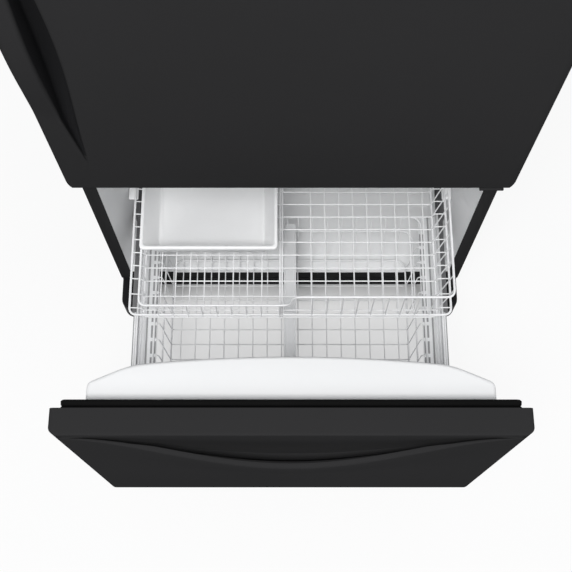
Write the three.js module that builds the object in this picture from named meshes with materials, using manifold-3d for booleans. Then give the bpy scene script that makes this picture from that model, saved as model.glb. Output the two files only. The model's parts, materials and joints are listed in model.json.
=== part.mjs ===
// A bottom-freezer refrigerator in millimetres: +X to its right, +Y to its back, +Z up, floor at zero.
// Each piece is drawn where it stands with everything shut, with Y = 0 at the cabinet's front plane.
// Groups then carry the drawer, its slides and the upper basket forwards to where they stand open.
import * as THREE from 'three';
import { mergeVertices } from 'three/addons/utils/BufferGeometryUtils.js';
import { ConvexGeometry } from 'three/addons/geometries/ConvexGeometry.js';
import Module from 'manifold-3d';

const wasm = await Module();
wasm.setup();

// ---- driving dimensions -------------------------------------------------------------------------
const GAP = 0.3;                    // running clearance between pieces
const FAR = 3000;                   // reach of a cut that goes right through

const CABINET_WIDTH = 833;
const CABINET_DEPTH = 740;
const CABINET_TOP = 1746;
const SHEET = 1.2;                  // steel of the cabinet
const SKIRT = 34;                   // lower edge of the side panels
const FLANGE_WIDTH = 28;            // front strips beside the openings
const SILL_BOTTOM = 94;             // black cross rail under the freezer opening
const SILL_HEIGHT = 39;
const MULLION_DROP = 39;            // cross rail between the two compartments, below the door's edge
const MULLION_HEIGHT = 70;

const COIL_ROOM = 49;               // depth behind the evaporator's cover
const LINER = 2;                    // moulded inner walls
const MOUTH_STEP = 1.5;             // the liner's mouth stands back behind the flange's edge
const FREEZER_WALL = 60.5;
const FREEZER_FLARE = 100;
const FREEZER_FLOOR_RISE = 14.5;    // over the sill
const FREEZER_CEILING_DROP = 12;    // under the cross rail
const FREEZER_BACK_WALL = 60;
const FRESH_WALL = 52.5;
const FRESH_FLARE = 40;
const FRESH_FLOOR_RISE = 16;
const FRESH_TOP_WALL = 46;
const FRESH_BACK_WALL = 45;
const MACHINE_ROOM_DEPTH = 188;
const MACHINE_ROOM_TOP = 185;
const HUMP_WALL = 30;               // insulation over the machine room

const PANEL_THICKNESS = 48;         // outer door and drawer panels
const GASKET_THICKNESS = 19;
const PANEL_CORNER = 15;
const PANEL_EDGE = 5;              // rounding of the panels' front edges
const DOOR_BOTTOM = 745;
const DOOR_TOP_DROP = 6;            // door's upper edge, below the cabinet's top
const DRAWER_GAP = 7;
const DRAWER_HEIGHT = 650;
const DRAWER_LEAN = 10;             // the front leans back this much from its top to its bottom
const DRAWER_OUT = 459;             // how far the drawer stands open
const BASKET_OUT = 302;             // how far the upper basket stands out

const LIP_SIDE_GAP = 6.5;           // the drawer's bowed handle lip, in from the sides
const LIP_REACH = 36;
const LIP_THICKNESS = 8;
const LIP_END_DROP = 30;
const LIP_DIP = 100;
const LIP_STATIONS = 20;
const LIP_FADE = 300;
const LIP_NOSE = 4;                 // rounding at the lip's top edge
const LIP_POWER = 0.85;
const POCKET_SIDE_GAP = 116.5;      // scooped hand pocket behind the lip, in from the sides
const POCKET_RECESS = 9;
const POCKET_PIT = 42;
const POCKET_TOP_BAND = 9;

const GRIP_RISE = 102;              // hand pocket along the door's free edge, over the door's lower edge
const GRIP_DROP = 180;              // under its upper edge
const GRIP_BULGE_START = 161;       // swelling of the grip, over the pocket's lower tip
const GRIP_BULGE_STOP = 152;
const GRIP_REACH = 16;
const GRIP_DEPTH = 30;
const GRIP_INSET = 62;              // pocket's tip, in from the door's edge
const GRIP_RIDGE_WIDTH = 44;
const GRIP_SPREAD = 16;
const GRIP_STATIONS = 14;

const GASKET_INSET = 14;
const GASKET_WIDTH = 22;
const HINGE_INSET = 35.5;           // door axis, in from the door's right edge
const HINGE_SETBACK = 19;           // door axis, behind the door's front face
const PIN_RADIUS = 5;
const HINGE_PLATE = 4;

const ARCH_SIDE_GAP = 14.5;         // bowed inner wall of the drawer front, in from the gasket
const ARCH_DEPTH = 88;
const ARCH_SAG = 25;
const ARCH_CORNER = 77;             // where its bow turns off to the sides
const ARCH_SIDE_DEPTH = 39;
const ARCH_TOP_DROP = 51;
const ARCH_BOTTOM_RISE = 62;

const SLIDE_HEIGHT = 46;
const SLIDE_RIM_DROP = 3;           // slide's middle, under the basket's rim
const SLIDE_TAIL = 3;               // slide's end, behind the basket's rim
const SLIDE_WALL = 3.4;
const SLIDE_WIDTH = 10;
const SLIDE_START = 68;
const CARRIER_WIDTH = 42;
const CARRIER_THICKNESS = 3;
const BRACKET_DEPTH = 8;            // plate that holds a slide to the drawer front

const THICK_WIRE = 5;
const LOOP_WIRE = 3.6;
const THIN_WIRE = 3.2;
const CROSS_WIRE = 2.8;
const LOWER_FLOOR_GAP = 2.5;        // lower wire basket, over the liner's floor
const LOWER_RIM_RISE = 142;
const LOWER_FRONT = 98;
const LOWER_REAR_GAP = 40;
const LOWER_REAR_LEAN = 53;
const LOWER_SIDE_GAP = 5.3;         // between the side wires and the slides' shelves
const LOWER_SIDE_LEAN = 11;
const LOWER_BAND_RISE = 98;
const LOWER_BARS_ACROSS = 9;
const LOWER_BARS_ALONG = 6;
const DIVIDER_WIDTH = 28;
const DIVIDER_WALL = 4;
const DIVIDER_TRAVEL_GAP = 8;

const UPPER_FLOOR_RISE = 103;       // upper wire basket, over the lower one's rim
const UPPER_FRONT = 100;
const UPPER_REAR_GAP = 61;
const UPPER_SIDE_GAP = 43;
const UPPER_HIGH_RISE = 129;
const UPPER_LOW_RISE = 77;
const UPPER_FLARE = 18;
const UPPER_LOOP_RISE = 16;
const UPPER_BARS_ACROSS = 6;
const UPPER_BARS_ALONG = 10;
const STEP_X = 0;                   // where the front rim steps down
const STEP_RUN = 8;
const LEDGE_WIDTH = 20;             // liner ledges that the basket's side wires slide on
const LEDGE_FRONT = 69;

const BIN_SETBACK = 121;            // ice bin, in the upper basket
const BIN_REAR_GAP = 29;
const BIN_OVERHANG = 3;
const BIN_WIDTH = 289;
const BIN_RISE = 13;                 // of its rim over the basket's left rim
const BIN_RIM = 4;
const BIN_TAPER = 21;
const BIN_WALL = 3;
const BIN_RIM_THICKNESS = 8;

const WHEEL_RADIUS = 20;
const WHEEL_WIDTH = 20;
const AXLE_RADIUS = 4;
const FRONT_WHEEL_INSET = 64.5;
const FRONT_WHEEL_Y = 60;
const REAR_WHEEL_INSET = 36.5;
const REAR_WHEEL_SETBACK = 50;
const EAR = 3;
const LEG_INSET = 35.5;
const LEG_Y = -14;
const LEG_FOOT_RADIUS = 14;
const LEG_FOOT_HEIGHT = 8;
const LEG_STUD_RADIUS = 5;
const LEG_STUD_TOP = 54;
const COVER_REACH = 74;             // corner covers over the legs
const COVER_WIDTH = 80;
const COVER_TOP_DROP = 10;           // under the sill, clear of the shut drawer
const COVER_NOSE = 14;
const COVER_CLEARANCE = 5;
const COVER_BACK = 8;
const COVER_CORNER = 25;
const COVER_WALL = 3;
const GRILLE_BOTTOM = 33;
const GRILLE_THICKNESS = 3;

const SHELF_FIRST_RISE = 166;       // lowest glass shelf, over the crispers' cover
const SHELF_TOP_ROOM = 170;
const SHELF_THICKNESS = 12;
const SHELF_FRONT = 115;
const SHELF_REAR_GAP = 135;
const SHELF_GAP = 4;
const SHELF_LEDGE = 14;
const LEDGE_THICKNESS = 8;
const CRISPER_SIDE = 40;            // side rails that keep the crispers clear of the open door
const CRISPER_HEIGHT = 212;         // their glass cover, over the compartment's floor
const CRISPER_FRONT = 105;
const CRISPER_REAR_GAP = 60;
const CRISPER_FLOOR_GAP = 8;
const CRISPER_RIM_DROP = 25;
const CRISPER_WALL = 3;
const CRISPER_FLANGE = 12;
const CRISPER_FLANGE_THICKNESS = 4;
const HANGER_HALF = 16;
const HANGER_STEM_HALF = 3;

const DYKE_REACH = 20;              // raised border of the door's inner panel
const DYKE_INSET = 71.5;
const DYKE_WIDTH = 27;
const DYKE_END_GAP = 8;
const SHELF_BIN_REACH = 80;
const LOWER_BIN_HEIGHT = 120;
const MIDDLE_BIN_HEIGHT = 95;
const DOOR_BIN_RISE = 33.5;
const DAIRY_TOP_GAP = 130;
const DAIRY_HEIGHT = 150;
const TRAY_WALL = 3;

// ---- values worked out from them ------------------------------------------------------------------
const HALF = CABINET_WIDTH / 2;
const OPENING_HALF = HALF - FLANGE_WIDTH;
const SILL_TOP = SILL_BOTTOM + SILL_HEIGHT;
const DOOR_TOP = CABINET_TOP - DOOR_TOP_DROP;
const MULLION_BOTTOM = DOOR_BOTTOM - MULLION_DROP;
const MULLION_TOP = MULLION_BOTTOM + MULLION_HEIGHT;
const FRESH_OPENING_TOP = CABINET_TOP - FLANGE_WIDTH;
const FREEZER_FLOOR = SILL_TOP + FREEZER_FLOOR_RISE;
const FREEZER_CEILING = MULLION_BOTTOM - FREEZER_CEILING_DROP;
const FRESH_FLOOR = MULLION_TOP + FRESH_FLOOR_RISE;
const FRESH_CEILING = CABINET_TOP - FRESH_TOP_WALL;
const MACHINE_ROOM_FRONT = CABINET_DEPTH - MACHINE_ROOM_DEPTH;
const PANEL_BACK = -GASKET_THICKNESS;
const PANEL_FRONT = PANEL_BACK - PANEL_THICKNESS;
const DRAWER_TOP = DOOR_BOTTOM - DRAWER_GAP;
const DRAWER_BOTTOM = DRAWER_TOP - DRAWER_HEIGHT;
const HINGE_X = HALF - HINGE_INSET;
const HINGE_Y = PANEL_FRONT + HINGE_SETBACK;

const freezerRoom = {
  half: HALF - FREEZER_WALL, floor: FREEZER_FLOOR, ceiling: FREEZER_CEILING,
  rear: CABINET_DEPTH - FREEZER_BACK_WALL, flare: FREEZER_FLARE,
  mouthHalf: OPENING_HALF + MOUTH_STEP, mouthFloor: SILL_TOP - MOUTH_STEP,
  mouthCeiling: MULLION_BOTTOM + MOUTH_STEP,
  humpFront: MACHINE_ROOM_FRONT - HUMP_WALL, humpTop: MACHINE_ROOM_TOP + HUMP_WALL,
};
const freshRoom = {
  half: HALF - FRESH_WALL, floor: FRESH_FLOOR, ceiling: FRESH_CEILING,
  rear: CABINET_DEPTH - FRESH_BACK_WALL, flare: FRESH_FLARE,
  mouthHalf: OPENING_HALF + MOUTH_STEP, mouthFloor: MULLION_TOP - MOUTH_STEP,
  mouthCeiling: FRESH_OPENING_TOP + MOUTH_STEP,
};
const coverPlateY = freezerRoom.rear - COIL_ROOM;
const LOWER_FLOOR = FREEZER_FLOOR + LOWER_FLOOR_GAP;
const LOWER_REAR_FLOOR = freezerRoom.humpFront - LOWER_REAR_GAP;
const LOWER_REAR_RIM = LOWER_REAR_FLOOR + LOWER_REAR_LEAN;
const LOWER_RIM = LOWER_FLOOR + LOWER_RIM_RISE;
const UPPER_FLOOR = LOWER_RIM + UPPER_FLOOR_RISE;
const UPPER_REAR = coverPlateY - UPPER_REAR_GAP;
const UPPER_HALF = freezerRoom.half - UPPER_SIDE_GAP;
const UPPER_HIGH_RIM = UPPER_FLOOR + UPPER_HIGH_RISE;
const UPPER_LOW_RIM = UPPER_FLOOR + UPPER_LOW_RISE;
const UPPER_LOOP = UPPER_FLOOR + UPPER_LOOP_RISE;
const SLIDE_OUTER_X = freezerRoom.half - GAP;
const SLIDE_MIDDLE_Z = LOWER_RIM - SLIDE_RIM_DROP;
const faceY = (z) => PANEL_FRONT + DRAWER_LEAN * (DRAWER_TOP - z) / DRAWER_HEIGHT;
const FRONTMOST = faceY(DRAWER_TOP - LIP_END_DROP - LIP_DIP - LIP_NOSE) - LIP_REACH - DRAWER_OUT;

// ---- solids ---------------------------------------------------------------------------------------
function solidOf(geometry) {
  const bare = new THREE.BufferGeometry();
  bare.setAttribute('position', geometry.getAttribute('position').clone());
  if (geometry.index) bare.setIndex(geometry.index.clone());
  const merged = mergeVertices(bare, 1e-4);
  return new wasm.Manifold(new wasm.Mesh({
    numProp: 3,
    vertProperties: new Float32Array(merged.getAttribute('position').array),
    triVerts: new Uint32Array(merged.index.array),
  }));
}

function geometryOf(solid) {
  const mesh = solid.getMesh();
  const geometry = new THREE.BufferGeometry();
  geometry.setAttribute('position', new THREE.BufferAttribute(new Float32Array(mesh.vertProperties), 3));
  geometry.setIndex(new THREE.BufferAttribute(new Uint32Array(mesh.triVerts), 1));
  geometry.computeVertexNormals();
  return geometry;
}

const join = (solids) => solids.reduce((whole, next) => whole.add(next));
const cut = (solid, tools) => tools.reduce((rest, tool) => rest.subtract(tool), solid);

function block([x0, x1], [y0, y1], [z0, z1]) {
  const geometry = new THREE.BoxGeometry(1, 1, 1);
  const at = geometry.getAttribute('position');
  for (let i = 0; i < at.count; i++) {
    at.setXYZ(i, at.getX(i) < 0 ? x0 : x1, at.getY(i) < 0 ? y0 : y1, at.getZ(i) < 0 ? z0 : z1);
  }
  return solidOf(geometry);
}

// A span on the right side, or its mirror on the left.
const across = (side, near, far) => (side > 0 ? [near, far] : [-far, -near]);

function rod(axis, [x, y, z], radius, length, sides = 24) {
  const geometry = new THREE.CylinderGeometry(radius, radius, length, sides);
  if (axis === 'x') geometry.rotateZ(Math.PI / 2);
  if (axis === 'z') geometry.rotateX(Math.PI / 2);
  geometry.translate(x, y, z);
  return solidOf(geometry);
}

// A square bar from one point to another.
function bar(from, to, size) {
  const start = new THREE.Vector3(...from);
  const end = new THREE.Vector3(...to);
  const run = end.clone().sub(start);
  const geometry = new THREE.BoxGeometry(size, size, run.length() + size);
  const across = Math.abs(run.z) > Math.abs(run.x) + Math.abs(run.y)
    ? new THREE.Vector3(0, 1, 0) : new THREE.Vector3(0, 0, 1);
  const side = new THREE.Vector3().crossVectors(across, run).normalize();
  const up = new THREE.Vector3().crossVectors(run, side).normalize();
  geometry.applyMatrix4(new THREE.Matrix4().makeBasis(side, up, run.clone().normalize()));
  geometry.translate(...start.add(end).multiplyScalar(0.5).toArray());
  return solidOf(geometry);
}

const outlineShape = (points) => new THREE.Shape(points.map(([u, v]) => new THREE.Vector2(u, v)));

// An outline drawn in two axes and stretched along the third.
function prism(axis, points, from, to) {
  const geometry = new THREE.ExtrudeGeometry(outlineShape(points), {
    depth: to - from, bevelEnabled: false, curveSegments: 8,
  });
  const basis = new THREE.Matrix4();
  if (axis === 'x') basis.makeBasis(...[[0, 1, 0], [0, 0, 1], [1, 0, 0]].map((v) => new THREE.Vector3(...v)));
  geometry.applyMatrix4(basis);
  geometry.translate(axis === 'x' ? from : 0, 0, axis === 'z' ? from : 0);
  return solidOf(geometry);
}

const hull = (points) => solidOf(new ConvexGeometry(points.map((p) => new THREE.Vector3(...p))));

// The hull of two upright rectangles [half width, bottom, top], one at each depth.
function throat(y0, [half0, bottom0, top0], y1, [half1, bottom1, top1]) {
  const corners = [];
  for (const side of [-1, 1]) {
    corners.push([side * half0, y0, bottom0], [side * half0, y0, top0]);
    corners.push([side * half1, y1, bottom1], [side * half1, y1, top1]);
  }
  return hull(corners);
}

// Skins a row of like outlines; place() turns an outline's point and its station into x, y, z.
function loft(stations, place) {
  const count = stations[0].outline.length;
  const points = stations.flatMap(({ at, outline }) => outline.map(([u, v]) => place(u, v, at)));
  const faces = [];
  for (let row = 0; row < stations.length - 1; row++) {
    for (let i = 0; i < count; i++) {
      const a = row * count + i;
      const b = row * count + (i + 1) % count;
      faces.push([a, b, b + count], [a, b + count, a + count]);
    }
  }
  const last = (stations.length - 1) * count;
  const capOf = (station) => THREE.ShapeUtils.triangulateShape(
    station.outline.map(([u, v]) => new THREE.Vector2(u, v)), []);
  const turn = THREE.ShapeUtils.area(stations[0].outline.map(([u, v]) => new THREE.Vector2(u, v))) < 0;
  const forward = (face) => (turn ? [face[0], face[2], face[1]] : face);
  for (const face of capOf(stations[0])) faces.push(forward([face[0], face[2], face[1]]).slice());
  for (const face of capOf(stations.at(-1))) faces.push(forward(face).map((i) => i + last));
  const volume = faces.reduce((sum, [a, b, c]) => {
    const [p, q, r] = [points[a], points[b], points[c]].map((v) => new THREE.Vector3(...v));
    return sum + p.dot(q.cross(r));
  }, 0);
  const geometry = new THREE.BufferGeometry();
  geometry.setAttribute('position', new THREE.Float32BufferAttribute(points.flat(), 3));
  geometry.setIndex(faces.flatMap(([a, b, c]) => (volume < 0 ? [a, c, b] : [a, b, c])));
  return solidOf(geometry);
}

// An upright tray: walls all round, open at the top.
function tray([x0, x1], [y0, y1], [z0, z1], wall) {
  const outer = block([x0, x1], [y0, y1], [z0, z1]);
  return outer.subtract(block([x0 + wall, x1 - wall], [y0 + wall, y1 - wall], [z0 + wall, z1 + 1]));
}

const spread = (count, from, to) => Array.from({ length: count },
  (_, i) => from + (to - from) * i / (count - 1));

// ---- materials ------------------------------------------------------------------------------------
const finish = (color, roughness, metalness = 0) => new THREE.MeshStandardMaterial({
  color, roughness, metalness, flatShading: true,
});
const blackPaint = finish(0x1c1c1d, 0.35);
const blackPlastic = finish(0x161617, 0.55);
const blackRubber = finish(0x0e0e0f, 0.7);
const whitePlastic = finish(0xeeeeee, 0.45);
const whiteWire = finish(0xf4f4f4, 0.35);
const clearPlastic = finish(0xdfe6ea, 0.15);
const glass = finish(0xcfdfe0, 0.05);
const zincSteel = finish(0xb4b6b8, 0.35, 0.9);
const darkSteel = finish(0x55575a, 0.4, 0.9);
const copper = finish(0xb87344, 0.35, 0.9);
const aluminium = finish(0xc8cacc, 0.4, 0.9);
const foam = finish(0xe6dcc0, 0.9);
const grayPaint = finish(0x2b2b2c, 0.6);

// ---- groups ---------------------------------------------------------------------------------------
const refrigerator = new THREE.Group();
refrigerator.position.y = -(FRONTMOST + CABINET_DEPTH) / 2;

function carriage(forward) {
  const group = new THREE.Group();
  group.position.y = -forward;
  refrigerator.add(group);
  return group;
}
const cabinet = carriage(0);
const door = carriage(0);
const drawer = carriage(DRAWER_OUT);
const slideMiddles = carriage(DRAWER_OUT / 2);
const upperBasketGroup = carriage(BASKET_OUT);

function add(group, name, solid, material) {
  const mesh = new THREE.Mesh(geometryOf(solid), material);
  mesh.name = name;
  group.add(mesh);
}

const sides = [{ side: -1, word: 'left' }, { side: 1, word: 'right' }];

// ---- cabinet shell, insulation and liners -----------------------------------------------------------
function cavity(room, grow) {
  const mouth = [room.mouthHalf + grow, room.mouthFloor - grow, room.mouthCeiling + grow];
  const inside = [room.half + grow, room.floor - grow, room.ceiling + grow];
  const overlap = room.flare / 4;
  let space = throat(SHEET, mouth, room.flare, inside);
  space = space.add(block([-inside[0], inside[0]], [room.flare - overlap, room.rear + grow],
    [inside[1], inside[2]]));
  if (!room.humpFront) return space;
  return space.subtract(block([-FAR, FAR], [room.humpFront + grow, FAR], [-FAR, room.humpTop - grow]));
}

// The same space with its mouth cut through the front plane.
function openCavity(room, grow) {
  const half = room.mouthHalf + grow;
  return cavity(room, grow).add(block([-half, half], [-1, SHEET],
    [room.mouthFloor - grow, room.mouthCeiling + grow]));
}

function cabinetShell() {
  const outer = block([-HALF, HALF], [0, CABINET_DEPTH], [SKIRT, CABINET_TOP]);
  return cut(outer, [
    block([-HALF + SHEET, HALF - SHEET], [SHEET, FAR], [-FAR, CABINET_TOP - SHEET]),
    block([-OPENING_HALF, OPENING_HALF], [-FAR, SHEET * 2], [SILL_TOP, FRESH_OPENING_TOP]),
    block([-FAR, FAR], [-FAR, COVER_BACK], [-FAR, SILL_BOTTOM]),
  ]);
}

function insulation() {
  const half = HALF - SHEET;
  const outer = block([-half, half], [SHEET, CABINET_DEPTH - SHEET], [SILL_BOTTOM, CABINET_TOP - SHEET]);
  return cut(outer, [
    block([-FAR, FAR], [MACHINE_ROOM_FRONT, FAR], [-FAR, MACHINE_ROOM_TOP]),
    openCavity(freezerRoom, LINER + GAP),
    openCavity(freshRoom, LINER + GAP),
  ]);
}

function ledge(room, side, width, [y0, y1], top) {
  const rail = block(across(side, room.half - width, room.mouthHalf), [y0, y1], [top - LEDGE_THICKNESS, top]);
  return rail.intersect(cavity(room, LINER / 2));
}

function freezerLiner() {
  const shell = cavity(freezerRoom, LINER).subtract(openCavity(freezerRoom, 0));
  const ledges = sides.map(({ side }) => ledge(freezerRoom, side, LEDGE_WIDTH,
    [LEDGE_FRONT, UPPER_REAR + LEDGE_FRONT / 2], UPPER_LOOP - THICK_WIRE / 2 - GAP));
  return join([shell, ...ledges]);
}

const CRISPER_COVER_LEVEL = FRESH_FLOOR + CRISPER_HEIGHT;
const shelfLevels = [0, 0.5, 1].map((share) => THREE.MathUtils.lerp(CRISPER_COVER_LEVEL + SHELF_FIRST_RISE,
  FRESH_CEILING - SHELF_TOP_ROOM, share));
const crisperRimTop = CRISPER_COVER_LEVEL - CRISPER_RIM_DROP;
const crisperSeat = crisperRimTop - CRISPER_FLANGE_THICKNESS - GAP;
const shelfSpan = [SHELF_FRONT, freshRoom.rear - SHELF_REAR_GAP];

function freshLiner() {
  const shell = cavity(freshRoom, LINER).subtract(openCavity(freshRoom, 0));
  const seats = [...shelfLevels, CRISPER_COVER_LEVEL].map((level) => level - SHELF_THICKNESS);
  const ledges = sides.flatMap(({ side }) => [
    ...seats.map((seat) => ledge(freshRoom, side, SHELF_LEDGE, shelfSpan, seat)),
    ledge(freshRoom, side, SHELF_LEDGE + SHELF_GAP + CRISPER_SIDE, shelfSpan, crisperSeat),
  ]);
  return join([shell, ...ledges]);
}

add(cabinet, 'cabinet_shell', cabinetShell(), blackPaint);
add(cabinet, 'foam_insulation', insulation(), foam);
add(cabinet, 'freezer_liner', freezerLiner(), whitePlastic);
add(cabinet, 'fresh_food_liner', freshLiner(), whitePlastic);
add(cabinet, 'mullion_rail', block([-OPENING_HALF, OPENING_HALF], [0, SHEET], [MULLION_BOTTOM, MULLION_TOP]),
  blackPaint);
add(cabinet, 'back_panel', block([-HALF + SHEET, HALF - SHEET], [CABINET_DEPTH - SHEET, CABINET_DEPTH],
  [MACHINE_ROOM_TOP + GAP, CABINET_TOP - SHEET]), grayPaint);

// ---- base: pan, wheels, legs, covers and grille -----------------------------------------------------
const DECK = 3;
const frontWheelX = HALF - FRONT_WHEEL_INSET;
const rearWheelX = HALF - REAR_WHEEL_INSET;
const rearWheelY = CABINET_DEPTH - REAR_WHEEL_SETBACK;
const legX = HALF - LEG_INSET;
const EAR_DROP = WHEEL_RADIUS - 8;
const LEG_BRACKET_TOP = 48;
const LEG_BRACKET_THICKNESS = 4;
const LEG_BRACKET_HALF = 12;
const wheelClear = WHEEL_WIDTH / 2 + 2;

function wheelEars(side, x, y, top) {
  const half = WHEEL_RADIUS / 2;
  const [inner, outer] = [x - wheelClear - EAR, x + wheelClear + EAR];
  return join([
    block(across(side, inner, inner + EAR), [y - half, y + half], [EAR_DROP, top]),
    block(across(side, outer - EAR, outer), [y - half, y + half], [EAR_DROP, top]),
    rod('x', [side * x, y, WHEEL_RADIUS], AXLE_RADIUS, outer - inner),
  ]);
}

function basePan() {
  const half = HALF - SHEET;
  const deckTop = SILL_BOTTOM;
  const body = [
    block([-half, half], [COVER_BACK, MACHINE_ROOM_FRONT], [deckTop - DECK, deckTop]),
    block([-half, half], [COVER_BACK, COVER_BACK + DECK], [SKIRT + DECK, deckTop]),
    block([-half, half], [MACHINE_ROOM_FRONT - DECK, MACHINE_ROOM_FRONT], [SKIRT, deckTop]),
    block([-half, half], [MACHINE_ROOM_FRONT - DECK, CABINET_DEPTH - SHEET - GAP], [SKIRT, SKIRT + DECK]),
  ];
  for (const { side } of sides) {
    body.push(wheelEars(side, frontWheelX, FRONT_WHEEL_Y, deckTop));
    body.push(wheelEars(side, rearWheelX, rearWheelY, SKIRT + DECK));
    body.push(block(across(side, legX - LEG_BRACKET_HALF, legX + LEG_BRACKET_HALF),
      [LEG_Y - LEG_BRACKET_HALF, COVER_BACK + DECK], [LEG_BRACKET_TOP - LEG_BRACKET_THICKNESS, LEG_BRACKET_TOP]));
  }
  const studHoles = sides.map(({ side }) => rod('z', [side * legX, LEG_Y, LEG_BRACKET_TOP],
    LEG_STUD_RADIUS + GAP, LEG_BRACKET_TOP));
  const wheelWells = sides.map(({ side }) => block(
    across(side, rearWheelX - wheelClear, rearWheelX + wheelClear),
    [rearWheelY - WHEEL_RADIUS - 4, rearWheelY + WHEEL_RADIUS + 4], [SKIRT - 1, SKIRT + DECK + 1]));
  return cut(join(body), [...studHoles, ...wheelWells]);
}

function wheel(x, y) {
  const tyre = rod('x', [x, y, WHEEL_RADIUS], WHEEL_RADIUS, WHEEL_WIDTH);
  return tyre.subtract(rod('x', [x, y, WHEEL_RADIUS], AXLE_RADIUS + GAP, WHEEL_WIDTH * 2));
}

function levelingLeg(side) {
  const foot = rod('z', [side * legX, LEG_Y, LEG_FOOT_HEIGHT / 2], LEG_FOOT_RADIUS, LEG_FOOT_HEIGHT);
  const stud = rod('z', [side * legX, LEG_Y, LEG_STUD_TOP / 2], LEG_STUD_RADIUS, LEG_STUD_TOP);
  const nutTop = LEG_BRACKET_TOP - LEG_BRACKET_THICKNESS - GAP;
  const nut = rod('z', [side * legX, LEG_Y, nutTop - 3], LEG_STUD_RADIUS * 1.7, 6, 6);
  return join([foot, stud, nut]);
}

function coverProfile(wall) {
  const top = SILL_BOTTOM - COVER_TOP_DROP;
  return [[COVER_BACK + wall, SILL_BOTTOM - wall], [wall, SILL_BOTTOM - wall], [wall, top - wall],
    [COVER_NOSE - COVER_REACH, top - wall], [wall - COVER_REACH, top - COVER_NOSE],
    [wall - COVER_REACH, COVER_CLEARANCE - wall], [COVER_BACK + wall, COVER_CLEARANCE - wall]];
}

function footCover(side) {
  const inner = HALF - COVER_WIDTH;
  const plan = [[inner, COVER_BACK], [inner, COVER_CORNER - COVER_REACH]];
  const arc = (cx, cy, from, to) => spread(5, from, to).map((turn) => [
    cx + COVER_CORNER * Math.cos(turn), cy + COVER_CORNER * Math.sin(turn)]);
  plan.push(...arc(inner + COVER_CORNER, COVER_CORNER - COVER_REACH, Math.PI, Math.PI * 1.5));
  plan.push(...arc(HALF - COVER_CORNER - 8, COVER_CORNER - COVER_REACH, Math.PI * 1.5, Math.PI * 2 - 0.2));
  plan.push([HALF, 0], [HALF, COVER_BACK]);
  const placed = plan.map(([x, y]) => [side * x, y]);
  const body = prism('z', placed, 0, SILL_BOTTOM - GAP).intersect(
    prism('x', coverProfile(0), ...across(side, inner - 1, HALF + 1)));
  return body.subtract(prism('x', coverProfile(COVER_WALL),
    ...across(side, inner + COVER_WALL, HALF - COVER_WALL * 4)));
}

function toeGrille() {
  const half = HALF - COVER_WIDTH - GAP;
  const back = COVER_BACK;
  const plate = block([-half, half], [back - GRILLE_THICKNESS, back], [GRILLE_BOTTOM, SILL_BOTTOM]);
  const slots = [];
  for (const z of spread(3, GRILLE_BOTTOM + 14, SILL_BOTTOM - 14)) {
    for (const x of spread(3, -half * 0.64, half * 0.64)) {
      slots.push(block([x - half * 0.28, x + half * 0.28], [-FAR, FAR], [z - 4, z + 4]));
    }
  }
  return cut(plate, slots);
}

add(cabinet, 'base_pan', basePan(), zincSteel);
add(cabinet, 'toe_grille', toeGrille(), blackPlastic);
for (const { side, word } of sides) {
  add(cabinet, `front_roller_${word}`, wheel(side * frontWheelX, FRONT_WHEEL_Y), blackPlastic);
  add(cabinet, `rear_roller_${word}`, wheel(side * rearWheelX, rearWheelY), blackPlastic);
  add(cabinet, `leveling_leg_${word}`, levelingLeg(side), zincSteel);
  add(cabinet, `foot_cover_${word}`, footCover(side), blackPlastic);
}

// ---- panels -----------------------------------------------------------------------------------------
// A flat panel with rounded corners, its front edges rounded over.
function slab(bottom, top, lean) {
  const [w, h] = [HALF - PANEL_EDGE, (top - bottom) / 2 - PANEL_EDGE];
  const r = PANEL_CORNER - PANEL_EDGE;
  const shape = new THREE.Shape();
  shape.moveTo(-w + r, -h);
  shape.lineTo(w - r, -h);
  shape.absarc(w - r, -h + r, r, -Math.PI / 2, 0);
  shape.absarc(w - r, h - r, r, 0, Math.PI / 2);
  shape.absarc(-w + r, h - r, r, Math.PI / 2, Math.PI);
  shape.absarc(-w + r, -h + r, r, Math.PI, Math.PI * 1.5);
  const geometry = new THREE.ExtrudeGeometry(shape, {
    depth: PANEL_THICKNESS, curveSegments: 3, bevelEnabled: true,
    bevelSize: PANEL_EDGE, bevelThickness: PANEL_EDGE, bevelSegments: 4,
  });
  geometry.rotateX(Math.PI / 2);
  geometry.translate(0, PANEL_FRONT + PANEL_EDGE + PANEL_THICKNESS, (top + bottom) / 2);
  const at = geometry.getAttribute('position');
  for (let i = 0; i < at.count; i++) {
    if (at.getY(i) > PANEL_BACK) continue;
    at.setY(i, at.getY(i) + lean * (top - at.getZ(i)) / (top - bottom));
  }
  return solidOf(geometry).intersect(block([-FAR, FAR], [PANEL_FRONT, PANEL_BACK], [bottom, top]));
}

function gasketRing(bottom, top) {
  const out = HALF - GASKET_INSET;
  const inn = out - GASKET_WIDTH;
  const span = [PANEL_BACK, -GAP];
  const ring = block([-out, out], span, [bottom + GASKET_INSET, top - GASKET_INSET]);
  const rise = GASKET_INSET + GASKET_WIDTH;
  return ring.subtract(block([-inn, inn], [-FAR, FAR], [bottom + rise, top - rise]));
}

// ---- door -------------------------------------------------------------------------------------------
const gripBottom = DOOR_BOTTOM + GRIP_RISE;
const gripTop = DOOR_TOP - GRIP_DROP;
const bulgeBottom = gripBottom + GRIP_BULGE_START;
const bulgeTop = gripTop - GRIP_BULGE_STOP;
const gripEase = (z, from, to) => Math.sin(Math.PI * THREE.MathUtils.clamp((z - from) / (to - from), 0, 1));
const ridgeX = -HALF + GRIP_RIDGE_WIDTH;

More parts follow.
